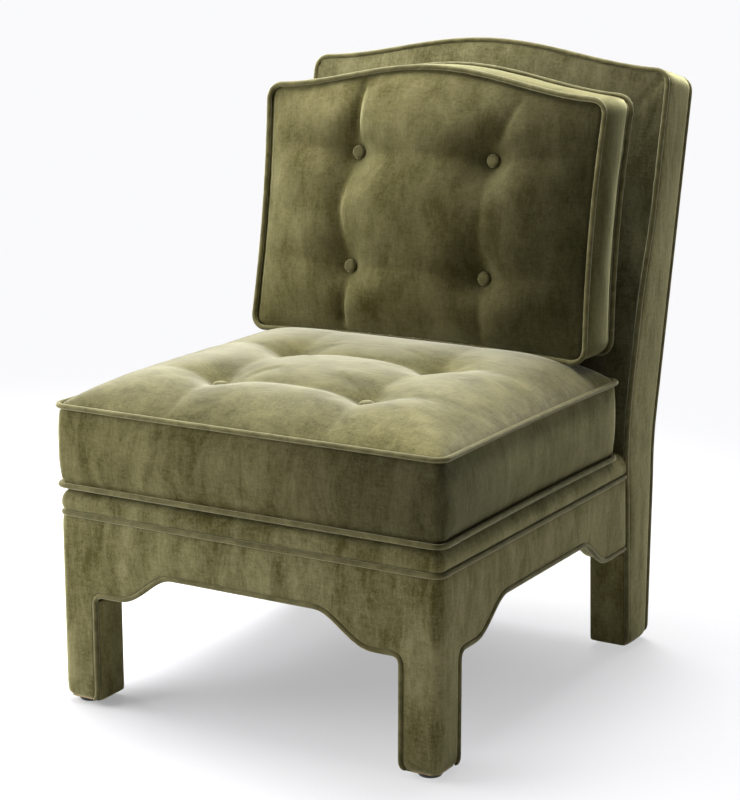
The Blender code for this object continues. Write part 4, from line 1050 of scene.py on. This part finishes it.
class BoxedCushion:
    """Cushion in its own plane: x across, y along, z through it, with its seams at +-boxing / 2."""

    along_power = 3.5
    tuft_flat = 0.009
    bulge = 0.005
    zip_bulge = 0.003
    tuck = 0.002
    groove, groove_place, groove_wide = 0.0026, 0.0022, 0.0018
    pucker, pucker_rise, pucker_fade = 0.0014, 0.006, 0.014
    base_roll, base_power = 0.2, 0.7
    covered_from = math.inf

    def __init__(self, **sizes):
        self.__dict__.update(sizes)

    def plan(self, u, v):
        """Places in the seams' plane for u and v from -1 to 1: rounded corners and drawn-in sides."""
        share_u = 1 - self.corner / self.half
        share_v = 1 - self.corner / (self.length / 2)
        a = np.clip((np.abs(u) - share_u) / (1 - share_u), 0, 1)
        b = np.clip((np.abs(v) - share_v) / (1 - share_v), 0, 1)
        inside = (a > 0) & (b > 0)
        across = np.where(inside, share_u + (1 - share_u) * a * np.sqrt(1 - b * b / 2), np.abs(u))
        along = np.where(inside, share_v + (1 - share_v) * b * np.sqrt(1 - a * a / 2), np.abs(v))
        u, v = np.copysign(across, u), np.copysign(along, v)
        x = u * (self.half - self.draw * (1 - v * v))
        low = self.bow * (1 - u * u)
        high = self.length + self.rise * (1 + np.cos(np.pi * u)) / 2
        return x, low + (high - low) * (v + 1) / 2

    def fullness(self, u, v, far_power):
        along = np.where(v > 0, far_power, self.along_power)
        by_side, by_end = 1 - np.abs(u) ** self.side_power, 1 - np.abs(v) ** along
        if not self.full_corners:
            return by_side * by_end
        by_side, by_end = np.maximum(by_side, 1e-6), np.maximum(by_end, 1e-6)
        return (by_side**-3 + by_end**-3 - 1) ** (-1 / 3)

    def face_height(self, u, v):
        """Height of the tufted panel over its seam: a dome, drawn down along its gathers and at its tufts."""
        full = self.fullness(u, v, self.far_power)
        x, y = self.plan(u, v)
        drawn = np.zeros_like(x)
        for start, stop, deep, wide in self.gathers:
            drawn = np.maximum(drawn, gather_depth(x, y, start, stop, deep, wide))
        for start, stop, deep, wide in self.creases:
            drawn = drawn + gather_depth(x, y, start, stop, deep, wide)
        height = self.crown * full - np.minimum(full * 3, 1) * drawn
        for tuft_x, tuft_y in self.tufts:
            away = np.maximum(np.hypot(x - tuft_x, y - tuft_y) - self.tuft_flat, 0)
            pull = (1 - np.minimum(away / self.tuft_reach, 1)) ** self.tuft_power
            height = height + (self.tuft_height - height) * pull
        off = np.minimum((1 - np.abs(u)) * self.half, (1 - np.abs(v)) * self.length / 2)
        waves = np.sin(300 * (x + y) + 3 * np.sin(48 * (x - y))) * np.sin(37 * x + 74 * y) ** 2
        raised = np.maximum(waves, 0) * np.minimum(off / self.pucker_rise, 1)
        puckered = raised * np.exp(-off / self.pucker_fade)
        return height - self.pucker * puckered - self.in_groove(off)

    def in_groove(self, off):
        """Depth of the groove beside a welt, this far from the seam."""
        return self.groove * np.exp(-(((off - self.groove_place) / self.groove_wide) ** 2))

    def base_depth(self, u, v):
        if self.flat_base:
            edge = np.maximum(np.abs(u), np.abs(v))
            return self.base_crown * np.minimum((1 - edge) / self.base_roll, 1) ** self.base_power
        return self.base_crown * self.fullness(u, v, self.along_power)

    def slid(self, x, y, z):
        y = y - self.slump * np.clip(z / self.boxing, -0.5, 0.5)
        return np.stack(np.broadcast_arrays(x, y, z), axis=-1)

    def rim_places(self, across, along):
        """Grid places round the rim, in order."""
        nu, nv = len(across), len(along)
        loop = [(i, 0) for i in range(nu - 1)] + [(nu - 1, j) for j in range(nv - 1)]
        loop += [(i, nv - 1) for i in range(nu - 1, 0, -1)] + [(0, j) for j in range(nv - 1, 0, -1)]
        return loop

    def grid_lines(self, reach, pitch):
        """Places from -1 to 1 across a panel of this half-width, closer together along its seams."""
        rim = np.array([0, 0.0014, 0.0032, 0.0058, 0.0095]) / reach
        inner = 1 - 0.0140 / reach
        middle = np.linspace(-inner, inner, int(2 * reach / pitch))
        return np.concatenate([rim - 1, middle, 1 - rim[::-1]])

    def shell(self, pitch):
        """Points and faces of the sewn cover, with where each point lies: u, v, and w from -1 to 1."""
        across = self.grid_lines(self.half, pitch)
        along = self.grid_lines(self.length / 2, pitch)
        levels = self.grid_lines(self.boxing / 2, pitch)[::-1]
        u, v = (grid.ravel() for grid in np.meshgrid(across, along, indexing="ij"))
        nv = len(along)
        x, y = self.plan(u, v)
        height = self.boxing / 2 + self.face_height(u, v)
        depth = self.boxing / 2 + self.base_depth(u, v)
        loop = self.rim_places(across, along)
        rim = np.array([i * nv + j for i, j in loop])
        rim_u, rim_v = u[rim], v[rim]
        out = np.stack([np.copysign(np.abs(place) ** 8, place) for place in (rim_u, rim_v)], axis=1)
        out /= np.linalg.norm(out, axis=1)[:, None]
        seam_x, seam_y = x.copy(), y.copy()
        seam_x[rim] += out[:, 0] * self.tuck
        seam_y[rim] += out[:, 1] * self.tuck
        height[rim] += self.tuck
        depth[rim] += self.tuck
        top = self.slid(seam_x, seam_y, height)
        base = self.slid(seam_x, seam_y, -depth)
        points, uvw = [top], [np.stack([u, v, np.ones_like(u)], axis=1)]
        by_zip = np.clip(rim_v * self.zip_side * 10 - 9, 0, 1)
        fullest = self.bulge + (self.zip_bulge - self.bulge) * by_zip
        for w in levels[1:-1]:
            bulge = fullest * (1 - w * w) - self.in_groove((1 - abs(w)) * self.boxing / 2)
            rim_x, rim_y = x[rim] + out[:, 0] * bulge, y[rim] + out[:, 1] * bulge
            points.append(self.slid(rim_x, rim_y, w * self.boxing / 2))
            uvw.append(np.stack([rim_u, rim_v, np.full(len(rim), w)], axis=1))
        points.append(base)
        uvw.append(np.stack([u, v, -np.ones_like(u)], axis=1))
        size, ring = len(u), len(rim)
        base_first = size + ring * (len(levels) - 2)
        faces = [face[::-1] for face in quads(len(across), nv)]
        faces += [tuple(index + base_first for index in face) for face in quads(len(across), nv)]
        middle = [size + ring * k + np.arange(ring) for k in range(len(levels) - 2)]
        rings = [indices.tolist() for indices in (rim, *middle, base_first + rim)]
        for above, below in zip(rings, rings[1:]):
            for k in range(ring):
                after = (k + 1) % ring
                faces.append((above[k], below[k], below[after], above[after]))
        return np.vstack(points), faces, np.vstack(uvw)

    def held_at(self, points, u, v, w):
        """Which points of the cover are held: at its seams, base, zip and tufts, and under what lies on it."""
        seam_reach, tuft_held = 0.0040, 0.0150
        on_panel = np.minimum((1 - np.abs(u)) * self.half, (1 - np.abs(v)) * self.length / 2)
        on_boxing = (1 - np.abs(w)) * self.boxing / 2
        held = (np.maximum(on_panel, on_boxing) < seam_reach) | (w < -0.99)
        held |= (v * self.zip_side > 0.999) & (np.abs(u) < 0.98)
        on_face = w > 0.99
        held |= on_face & (points[:, 1] > self.covered_from)
        for tuft_x, tuft_y in self.tufts:
            near = np.hypot(points[:, 0] - tuft_x, points[:, 1] - tuft_y + self.slump / 2)
            held |= on_face & (near < tuft_held)
        return held

    def seam(self, side, out):
        """Line of a welt round one seam: side is 1 on the tufted panel and -1 on the other."""
        across = np.linspace(-1, 1, 161)
        loop = self.rim_places(across, across)
        u = np.array([across[i] for i, j in loop])
        v = np.array([across[j] for i, j in loop])
        outline = np.stack(self.plan(u, v), axis=1)
        run = np.roll(outline, -1, axis=0) - np.roll(outline, 1, axis=0)
        run /= np.linalg.norm(run, axis=1)[:, None]
        outline = outline + np.stack([run[:, 1], -run[:, 0]], axis=1) * out
        return self.slid(outline[:, 0], outline[:, 1], np.full(len(outline), side * (self.boxing / 2 + out)))


def swelled(points, faces, held, most):
    """The sewn cover after its filling swells it by no more than this, held where it is sewn or lies."""
    frames = 20
    mesh = bpy.data.meshes.new("filling")
    mesh.from_pydata(points.tolist(), [], faces)
    shell = bpy.data.objects.new("filling", mesh)
    bpy.context.scene.collection.objects.link(shell)
    sewn = shell.vertex_groups.new(name="sewn")
    sewn.add(np.flatnonzero(held).tolist(), 1.0, "REPLACE")
    cloth = shell.modifiers.new("filling", "CLOTH")
    cloth.point_cache.frame_start = 1
    cloth.point_cache.frame_end = frames
    settings = cloth.settings
    settings.quality = 6
    settings.mass = 0.2
    settings.tension_stiffness = 18
    settings.compression_stiffness = 14
    settings.shear_stiffness = 8
    settings.bending_stiffness = 0.6
    settings.use_pressure = True
    settings.uniform_pressure_force = 4.0
    settings.vertex_group_mass = "sewn"
    settings.effector_weights.gravity = 0
    for step in range(1, frames + 1):
        bpy.context.scene.frame_set(step)
    graph = bpy.context.evaluated_depsgraph_get()
    filled = shell.evaluated_get(graph).to_mesh()
    moved = np.empty(len(points) * 3)
    filled.vertices.foreach_get("co", moved)
    moved = moved.reshape(-1, 3) - points
    shell.evaluated_get(graph).to_mesh_clear()
    bpy.data.objects.remove(shell)
    bpy.context.scene.frame_set(1)
    far = np.linalg.norm(moved, axis=1)
    return points + moved * np.where(far > most, most / np.maximum(far, 1e-9), 1)[:, None]


def outward_of(points, faces):
    """Outward direction at each point of a closed cover."""
    corners = np.array(faces)
    a, b, c, d = (points[corners[:, k]] for k in range(4))
    normal = np.cross(c - a, d - b)
    total = np.zeros_like(points)
    for k in range(4):
        np.add.at(total, corners[:, k], normal)
    return total / np.maximum(np.linalg.norm(total, axis=1), 1e-12)[:, None]


def filled(cushion, pitch, most, lumps, rough):
    """Points and faces of a cushion with its filling in, a little uneven, and w at each point."""
    points, faces, uvw = cushion.shell(pitch)
    held = cushion.held_at(points, *uvw.T)
    points = swelled(points, faces, held, most)
    uneven = ~held * np.array([rough * noise.noise(Vector(point) * lumps) for point in points])
    return points + outward_of(points, faces) * uneven[:, None], faces, uvw[:, 2]


def cut_boxing_from(piece, w, finish):
    """Gives the boxing between the seams its own cut of velvet."""
    piece.data.materials.append(finish)
    on_band = np.abs(w) < 0.99
    for face in piece.data.polygons:
        if any(on_band[i] for i in face.vertices):
            face.material_index = 1


seat_tuft_x = 0.122
seat_rows = near_row, far_row = 0.1355, 0.3285
seat_gathers, seat_creases = [], []
for row in seat_rows:
    seat_gathers.append(((-seat_tuft_x, row), (seat_tuft_x, row), (0.008, 0.008), 0.060))
    seat_creases.append(((-seat_tuft_x, row), (seat_tuft_x, row), (0.003, 0.003), 0.018))
    for sign in (-1, 1):
        tuft = (sign * seat_tuft_x, row)
        seat_gathers.append((tuft, (sign * 0.265, row + 0.006), (0.008, 0.0), 0.055))
        seat_creases.append((tuft, (sign * 0.210, row + 0.010), (0.003, 0.0), 0.018))
for column in (-seat_tuft_x, seat_tuft_x):
    seat_gathers.append(((column, near_row), (column, far_row), (0.008, 0.008), 0.060))
    seat_gathers.append(((column, near_row), (column * 1.06, 0.010), (0.007, 0.001), 0.050))
    seat_gathers.append(((column, far_row), (column, 0.500), (0.005, 0.0), 0.045))
seat = BoxedCushion(
    half=0.31375, length=0.548, boxing=0.1105, corner=0.014, draw=0.004, bow=0.0, rise=0.0, slump=0.0,
    side_power=7.0, along_power=4.2, far_power=8.0, full_corners=True, crown=0.053,
    tuft_height=0.025, tuft_reach=0.100, tuft_power=3.2,
    tufts=[(x, row) for row in seat_rows for x in (-seat_tuft_x, seat_tuft_x)],
    gathers=seat_gathers, creases=seat_creases, flat_base=True, base_crown=0.0070, zip_side=1,
    covered_from=0.47,
)
button_lift = 0.0003 + 0.004


def middle_of(node):
    low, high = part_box(node)
    return (np.array(low) + np.array(high)) / 2


seat_tuft = np.array([*seat.tufts[0], seat.boxing / 2 + seat.tuft_height + button_lift])
seat_origin = middle_of("seat_cushion_button_1") - seat_tuft
seat_points, seat_faces, seat_through = filled(seat, 0.0052, 0.022, 22, 0.0006)
# Painted light: the top's colour grows from 0.95 of its own at x = 0.02 to 1.35 times lighter at x = 0.25.
seat_velvet = velvet(
    "olive_velvet_seat", (0.040, 0.035, 0.009), (0.122, 0.110, 0.046), smear=(22, 30, 22), upright=False,
    sheen=(0.97, 0.95, 0.77), nap_and_painted_light=((1, 0, 0), (0.02, 0.25), (0.95, 1.35)),
)
# Painted shade: the boxing's colour darkens towards its front right-hand corner, as low as 0.58 of its own,
# and is 1.14 times lighter elsewhere.
seat_boxing_velvet = velvet(
    "olive_velvet_seat_boxing", (0.040, 0.034, 0.008), (0.134, 0.121, 0.056),
    nap_and_painted_light=((1, -1.5, 0), (0.50, 0.90), (1.14, 0.58)),
)
seat_cover = cloth_piece("seat_cushion_velvet", seat_points + seat_origin, seat_faces, seat_velvet)
cut_boxing_from(seat_cover, seat_through, seat_boxing_velvet)
settle_on(seat_cover, "seat_cushion", "olive_velvet", "seat_cushion_cover", "seat_cushion_core")


# Welts of the seat cushion: one round its top seam and one round its bottom seam.
# The bottom one lies on the deck.
welt_out = (welt_radius + ease) / math.sqrt(2)


def sewn_welts(body, cushion, turn, origin):
    for seam, side in (("face", 1), ("base", -1)):
        line = cushion.seam(side, welt_out) @ turn.T + origin
        piece = welt(f"{body}_welt_cord_{seam}", line, closed=True)
        settle_on(piece, body, "olive_welt", f"{body}_welt_{seam}")


sewn_welts("seat_cushion", seat, np.eye(3), seat_origin)


# Buttons of the seat cushion: metal moulds covered in the same velvet, tied down with twine.
# The velvet is gathered under the rim in small pleats.
button_profile = [(0.0008, 0.0), (0.0060, 0.0002), (0.0090, 0.0012), (0.0103, 0.0028), (0.0105, 0.0040)]
button_profile += [(0.0100, 0.0054), (0.0084, 0.0067), (0.0058, 0.0076), (0.0030, 0.0080), (0.0006, 0.0080)]


def tied_buttons(body, turn):
    """The four covered buttons of a cushion, each turned to face out of it."""
    steps = 36
    points = []
    for radius, height in button_profile:
        pleat = 0.0004 * max(0.0045 - height, 0) / 0.0045
        for k in range(steps):
            angle = 2 * math.pi * k / steps
            r = radius * 0.985 + pleat * math.cos(12 * angle)
            points.append((r * math.cos(angle), r * math.sin(angle), height - 0.004))
    faces = capped(len(button_profile), steps)
    for i in range(1, 5):
        placed = np.array(points) @ turn.T + middle_of(f"{body}_button_{i}")
        piece = cloth_piece(f"{body}_covered_button_{i}", placed, faces, welt_velvet)
        settle_on(piece, body, "olive_velvet", f"{body}_button_{i}")


tied_buttons("seat_cushion", np.eye(3))


# Back cushion: the same boxed cover, fuller, standing on the seat cushion and leaning on the inside back.
# Its four tufts are deep, and gathers run between them and out to the seams.
pillow_tuft_x = 0.117
pillow_rows = low_row, high_row = 0.110, 0.2865
pillow_gathers, pillow_creases = [], []
for row in pillow_rows:
    for sign in (-1, 1):
        tuft = (sign * pillow_tuft_x, row)
        pillow_gathers.append((tuft, (0, row + 0.004), (0.015, 0.005), 0.050))
        pillow_gathers.append((tuft, (sign * 0.268, row + 0.012), (0.015 - 0.003 * sign, 0.001), 0.060))
pillow_columns = [
    (-pillow_tuft_x, -0.134, (-0.116, 0.405), -0.124, 1.0, 1.0),
    (pillow_tuft_x, 0.114, (0.158, 0.378), 0.122, 0.62, 0.3),
]
for x, belly, top_end, foot, depth, crisp in pillow_columns:
    middle, upper_tuft, lower_tuft = (belly, 0.198), (x, high_row), (x, low_row)
    for start, stop, deep, wide in (
        (lower_tuft, middle, (0.022, 0.015), 0.060), (middle, upper_tuft, (0.015, 0.022), 0.060),
        (upper_tuft, top_end, (0.020, 0.008), 0.040), (lower_tuft, (foot, 0.0), (0.016, 0.006), 0.036),
    ):
        pillow_gathers.append((start, stop, (deep[0] * depth, deep[1] * depth), wide))
    for start, stop, deep, wide in (
        (lower_tuft, middle, (0.003, 0.0015), 0.015), (middle, upper_tuft, (0.0015, 0.003), 0.015),
        (upper_tuft, top_end, (0.007, 0.003), 0.014), (lower_tuft, (foot, 0.006), (0.005, 0.003), 0.012),
    ):
        pillow_creases.append((start, stop, (deep[0] * crisp, deep[1] * crisp), wide))
pillow_creases.append(((-0.135, 0.062), (-0.118, 0.004), (0.0, 0.004), 0.008))
pillow_creases.append(((pillow_tuft_x, high_row), (0.190, 0.330), (0.002, 0.0), 0.014))
pillow = BoxedCushion(
    half=0.289, length=0.382, boxing=0.088, corner=0.020, draw=0.007, bow=0.008, rise=0.037, slump=0.012,
    side_power=3.5, far_power=3.4, full_corners=False, crown=0.046,
    tuft_height=0.002, tuft_reach=0.078, tuft_power=2.5,
    tufts=[(x, row) for row in pillow_rows for x in (-pillow_tuft_x, pillow_tuft_x)],
    gathers=pillow_gathers, creases=pillow_creases, flat_base=False, base_crown=0.045, zip_side=-1,
)
pillow_lean = math.radians(8.5)
pillow_turn = np.array(Matrix.Rotation(math.pi / 2 - pillow_lean, 3, "X"))
pillow_tuft = np.array([pillow.tufts[0][0], pillow.tufts[0][1] - pillow.slump / 2, 0])
pillow_tuft[2] = pillow.boxing / 2 + pillow.tuft_height + button_lift
pillow_origin = middle_of("back_cushion_button_1") - pillow_turn @ pillow_tuft
pillow_points, pillow_faces, pillow_through = filled(pillow, 0.0044, 0.024, 20, 0.0007)
# Painted shade: the face's colour darkens towards its right-hand third, down to 0.48 of its own at x = 0.27.
pillow_velvet = velvet(
    "olive_velvet_back_cushion", (0.041, 0.035, 0.008), (0.124, 0.111, 0.050), smear=(28, 28, 13),
    stops=(0.40, 0.60), nap_and_painted_light=((1, 0, 0), (-0.08, 0.27), (1.06, 0.48)),
)
# Painted shade: the boxing takes a darker copy of the cushion's velvet, for the side that lies away from the
# lamps.
pillow_boxing_velvet_painted_shade = velvet(
    "olive_velvet_back_cushion_boxing_painted_shade", (0.030, 0.026, 0.005), (0.092, 0.081, 0.027),
)
pillow_cover = cloth_piece(
    "back_cushion_velvet", pillow_points @ pillow_turn.T + pillow_origin, pillow_faces, pillow_velvet
)
cut_boxing_from(pillow_cover, pillow_through, pillow_boxing_velvet_painted_shade)
settle_on(pillow_cover, "back_cushion", "olive_velvet", "back_cushion_cover", "back_cushion_core")


# Welts and buttons of the back cushion: as on the seat cushion, the welts round its front and rear seams.
# The buttons sit deep in their tufts.
sewn_welts("back_cushion", pillow, pillow_turn, pillow_origin)
tied_buttons("back_cushion", pillow_turn)


# Zips: woven tape with brass teeth, sewn into the rear of the seat cushion and the foot of the back cushion.
# A cast slider runs on each, and they are out of sight until a cushion is taken off.
brass, shader = new_finish("zip_brass_cast", 0.36)
shader.inputs["Metallic"].default_value = 1.0
tarnish = speckle(brass, place_on(brass), 260.0, 4.0)
finish_by(brass, shader, tarnish, [(0.35, (0.30, 0.21, 0.085)), (0.65, (0.52, 0.39, 0.17))], 0.0003, 0.5)
dress_nodes(brass, "seat_zip_slider", "back_zip_slider")

twill, shader = new_finish("olive_zip_tape", 0.9, 0.2)
twill_ribs = ribs(twill, "DIAGONAL", 420.0, 0.5)
finish_by(twill, shader, twill_ribs, [(0.1, (0.030, 0.026, 0.007)), (0.9, (0.075, 0.066, 0.022))], 0.0002)
zip_half = 0.200
tooth_pitch = 0.0021
tooth_size = np.array([0.0006, 0.0021, 0.00022])
tape_section = [
    (-0.0108, 0.0), (-0.0100, 0.0003), (-0.0030, 0.0004), (0.0030, 0.0004), (0.0100, 0.0003), (0.0108, 0.0),
]
box_corners = np.array([(i, j, k) for i in (-1, 1) for j in (-1, 1) for k in (-1, 1)])
box_faces = [(0, 1, 3, 2), (4, 6, 7, 5), (0, 4, 5, 1), (2, 3, 7, 6), (0, 2, 6, 4), (1, 5, 7, 3)]


def sewn_zip(body, place):
    """Tape and teeth along the boxing, laid by place(x, across the tape, out of the boxing)."""
    stations = np.linspace(-zip_half - 0.012, zip_half + 0.012, 90)
    tape_points = [place(x, across, out) for x in stations for across, out in tape_section]
    tape = cloth_piece(f"{body}_zip_tape", tape_points, quads(len(stations), len(tape_section)), twill)
    settle_on(tape, body, "olive_welt")
    teeth_points, teeth_faces = [], []
    for k, x in enumerate(np.arange(-zip_half, zip_half, tooth_pitch)):
        middle = np.array([x, 0.0005 if k % 2 else -0.0005, 0.00058])
        teeth_faces += [tuple(index + len(teeth_points) for index in face) for face in box_faces]
        teeth_points += [place(*corner) for corner in middle + box_corners * tooth_size]
    settle_on(cloth_piece(f"{body}_zip_teeth", teeth_points, teeth_faces, brass), body, "zip_brass")


def on_seat_rear(x, across, out):
    return seat_origin + (x, seat.length + seat.zip_bulge + out, across)


def on_pillow_foot(x, across, out):
    foot = pillow.bow * (1 - (x / pillow.half) ** 2) - pillow.slump * across / pillow.boxing
    return pillow_turn @ (x, foot - pillow.zip_bulge - out, across) + pillow_origin


sewn_zip("seat_cushion", on_seat_rear)
sewn_zip("back_cushion", on_pillow_foot)


# Studio: a wide pale floor that runs up to white, soft light from above and the left, and the camera.
# The floor takes the chair's shadow and nothing else; white is mixed in more with distance from a point left
# of the chair, painting that shadow paler to the right and rear.
def seen_rays(owner):
    """1 for a ray that shows the background: to the camera, in a reflection or through glass."""
    rays = add_node(owner, "LightPath", {})
    seen = rays.outputs["Is Camera Ray"]
    for kind in ("Is Glossy Ray", "Is Transmission Ray"):
        seen = add_node(owner, "Math", {0: seen, 1: rays.outputs[kind]}, operation="MAXIMUM").outputs[0]
    return seen


backdrop_white = {"Color": (0.955, 0.955, 0.97, 1), "Strength": 1.0}
floor_finish, shader = new_finish("pale_floor", 0.9, 0.1)
where = add_node(floor_finish, "TexCoord", {})
# Painted light: the white share is least near this point and grows away from it, so the shadow is painted
# paler towards the right and rear.
fullest_shadow_point = (-0.7, 0, 0)
away = add_node(floor_finish, "VectorMath", {0: where.outputs["Object"], 1: fullest_shadow_point}, operation="DISTANCE")
far = add_node(
    floor_finish, "MapRange",
    {"Value": away.outputs["Value"], "From Min": 0.4, "From Max": 1.9, "To Min": 0.3, "To Max": 1.0},
    interpolation_type="SMOOTHSTEP",
)
tint = speckle(floor_finish, where.outputs["Object"], 3.0, 2.0)
pale = shade_between(floor_finish, tint, [(0.3, (0.66, 0.655, 0.675)), (0.7, (0.68, 0.675, 0.695))])
link(floor_finish, pale, shader, "Base Color")
white = add_node(floor_finish, "Emission", backdrop_white)
seen = seen_rays(floor_finish)
shown = add_node(floor_finish, "Math", {0: far.outputs["Result"], 1: seen}, operation="MULTIPLY")
blend = add_node(floor_finish, "MixShader", {0: shown.outputs[0], 1: shader.outputs[0], 2: white.outputs[0]})
surface = floor_finish.node_tree.nodes["Material Output"]
floor_finish.node_tree.links.new(blend.outputs[0], surface.inputs["Surface"])
floor_lines = np.linspace(-40.0, 40.0, 9)
floor_points = [(x, y, 0) for y in floor_lines for x in floor_lines]
floor_faces = quads(len(floor_lines), len(floor_lines))
floor = cloth_piece("studio_floor", floor_points, floor_faces, floor_finish)

world = bpy.data.worlds.new("studio")
bpy.context.scene.world = world
world.use_nodes = True
sky = world.node_tree.nodes["Background"]
sky.inputs["Color"].default_value = (1, 1, 1, 1)
sky.inputs["Strength"].default_value = 0.06
backdrop = add_node(world, "Background", backdrop_white)
pick = add_node(world, "MixShader", {0: seen_rays(world), 1: sky.outputs[0], 2: backdrop.outputs[0]})
world.node_tree.links.new(pick.outputs[0], world.node_tree.nodes["World Output"].inputs["Surface"])


def soft_box(name, place, aim, size, power):
    """A large square lamp that points at a place on the chair."""
    lamp = bpy.data.lights.new(name, "AREA")
    lamp.shape = "SQUARE"
    lamp.size = size
    lamp.energy = power
    holder = bpy.data.objects.new(name, lamp)
    bpy.context.scene.collection.objects.link(holder)
    holder.location = place
    holder.rotation_euler = (Vector(aim) - Vector(place)).to_track_quat("-Z", "Y").to_euler()


chair_middle = (0, -0.1, 0.42)
soft_box("key_light", (-1.25, -1.15, 0.95), chair_middle, 1.1, 31)
soft_box("left_light", (-1.9, -0.3, 1.3), chair_middle, 1.4, 26)
soft_box("top_light", (-0.4, 0.3, 2.6), chair_middle, 1.8, 160)
soft_box("rear_light", (-0.7, 1.5, 2.1), chair_middle, 1.6, 40)

aim = Vector((0, -0.0523, 0.42))
azimuth, elevation, distance = math.radians(30.453), math.radians(12.947), 3.2539
toward = Vector((
    math.sin(azimuth) * math.cos(elevation), -math.cos(azimuth) * math.cos(elevation), math.sin(elevation),
))
lens = bpy.data.cameras.new("camera")
lens.lens = 97.885
lens.sensor_width = 36
camera = bpy.data.objects.new("camera", lens)
bpy.context.scene.collection.objects.link(camera)
camera.location = aim + toward * distance
camera.rotation_euler = toward.to_track_quat("Z", "Y").to_euler()
bpy.context.scene.camera = camera
bpy.context.scene.view_settings.view_transform = "Standard"
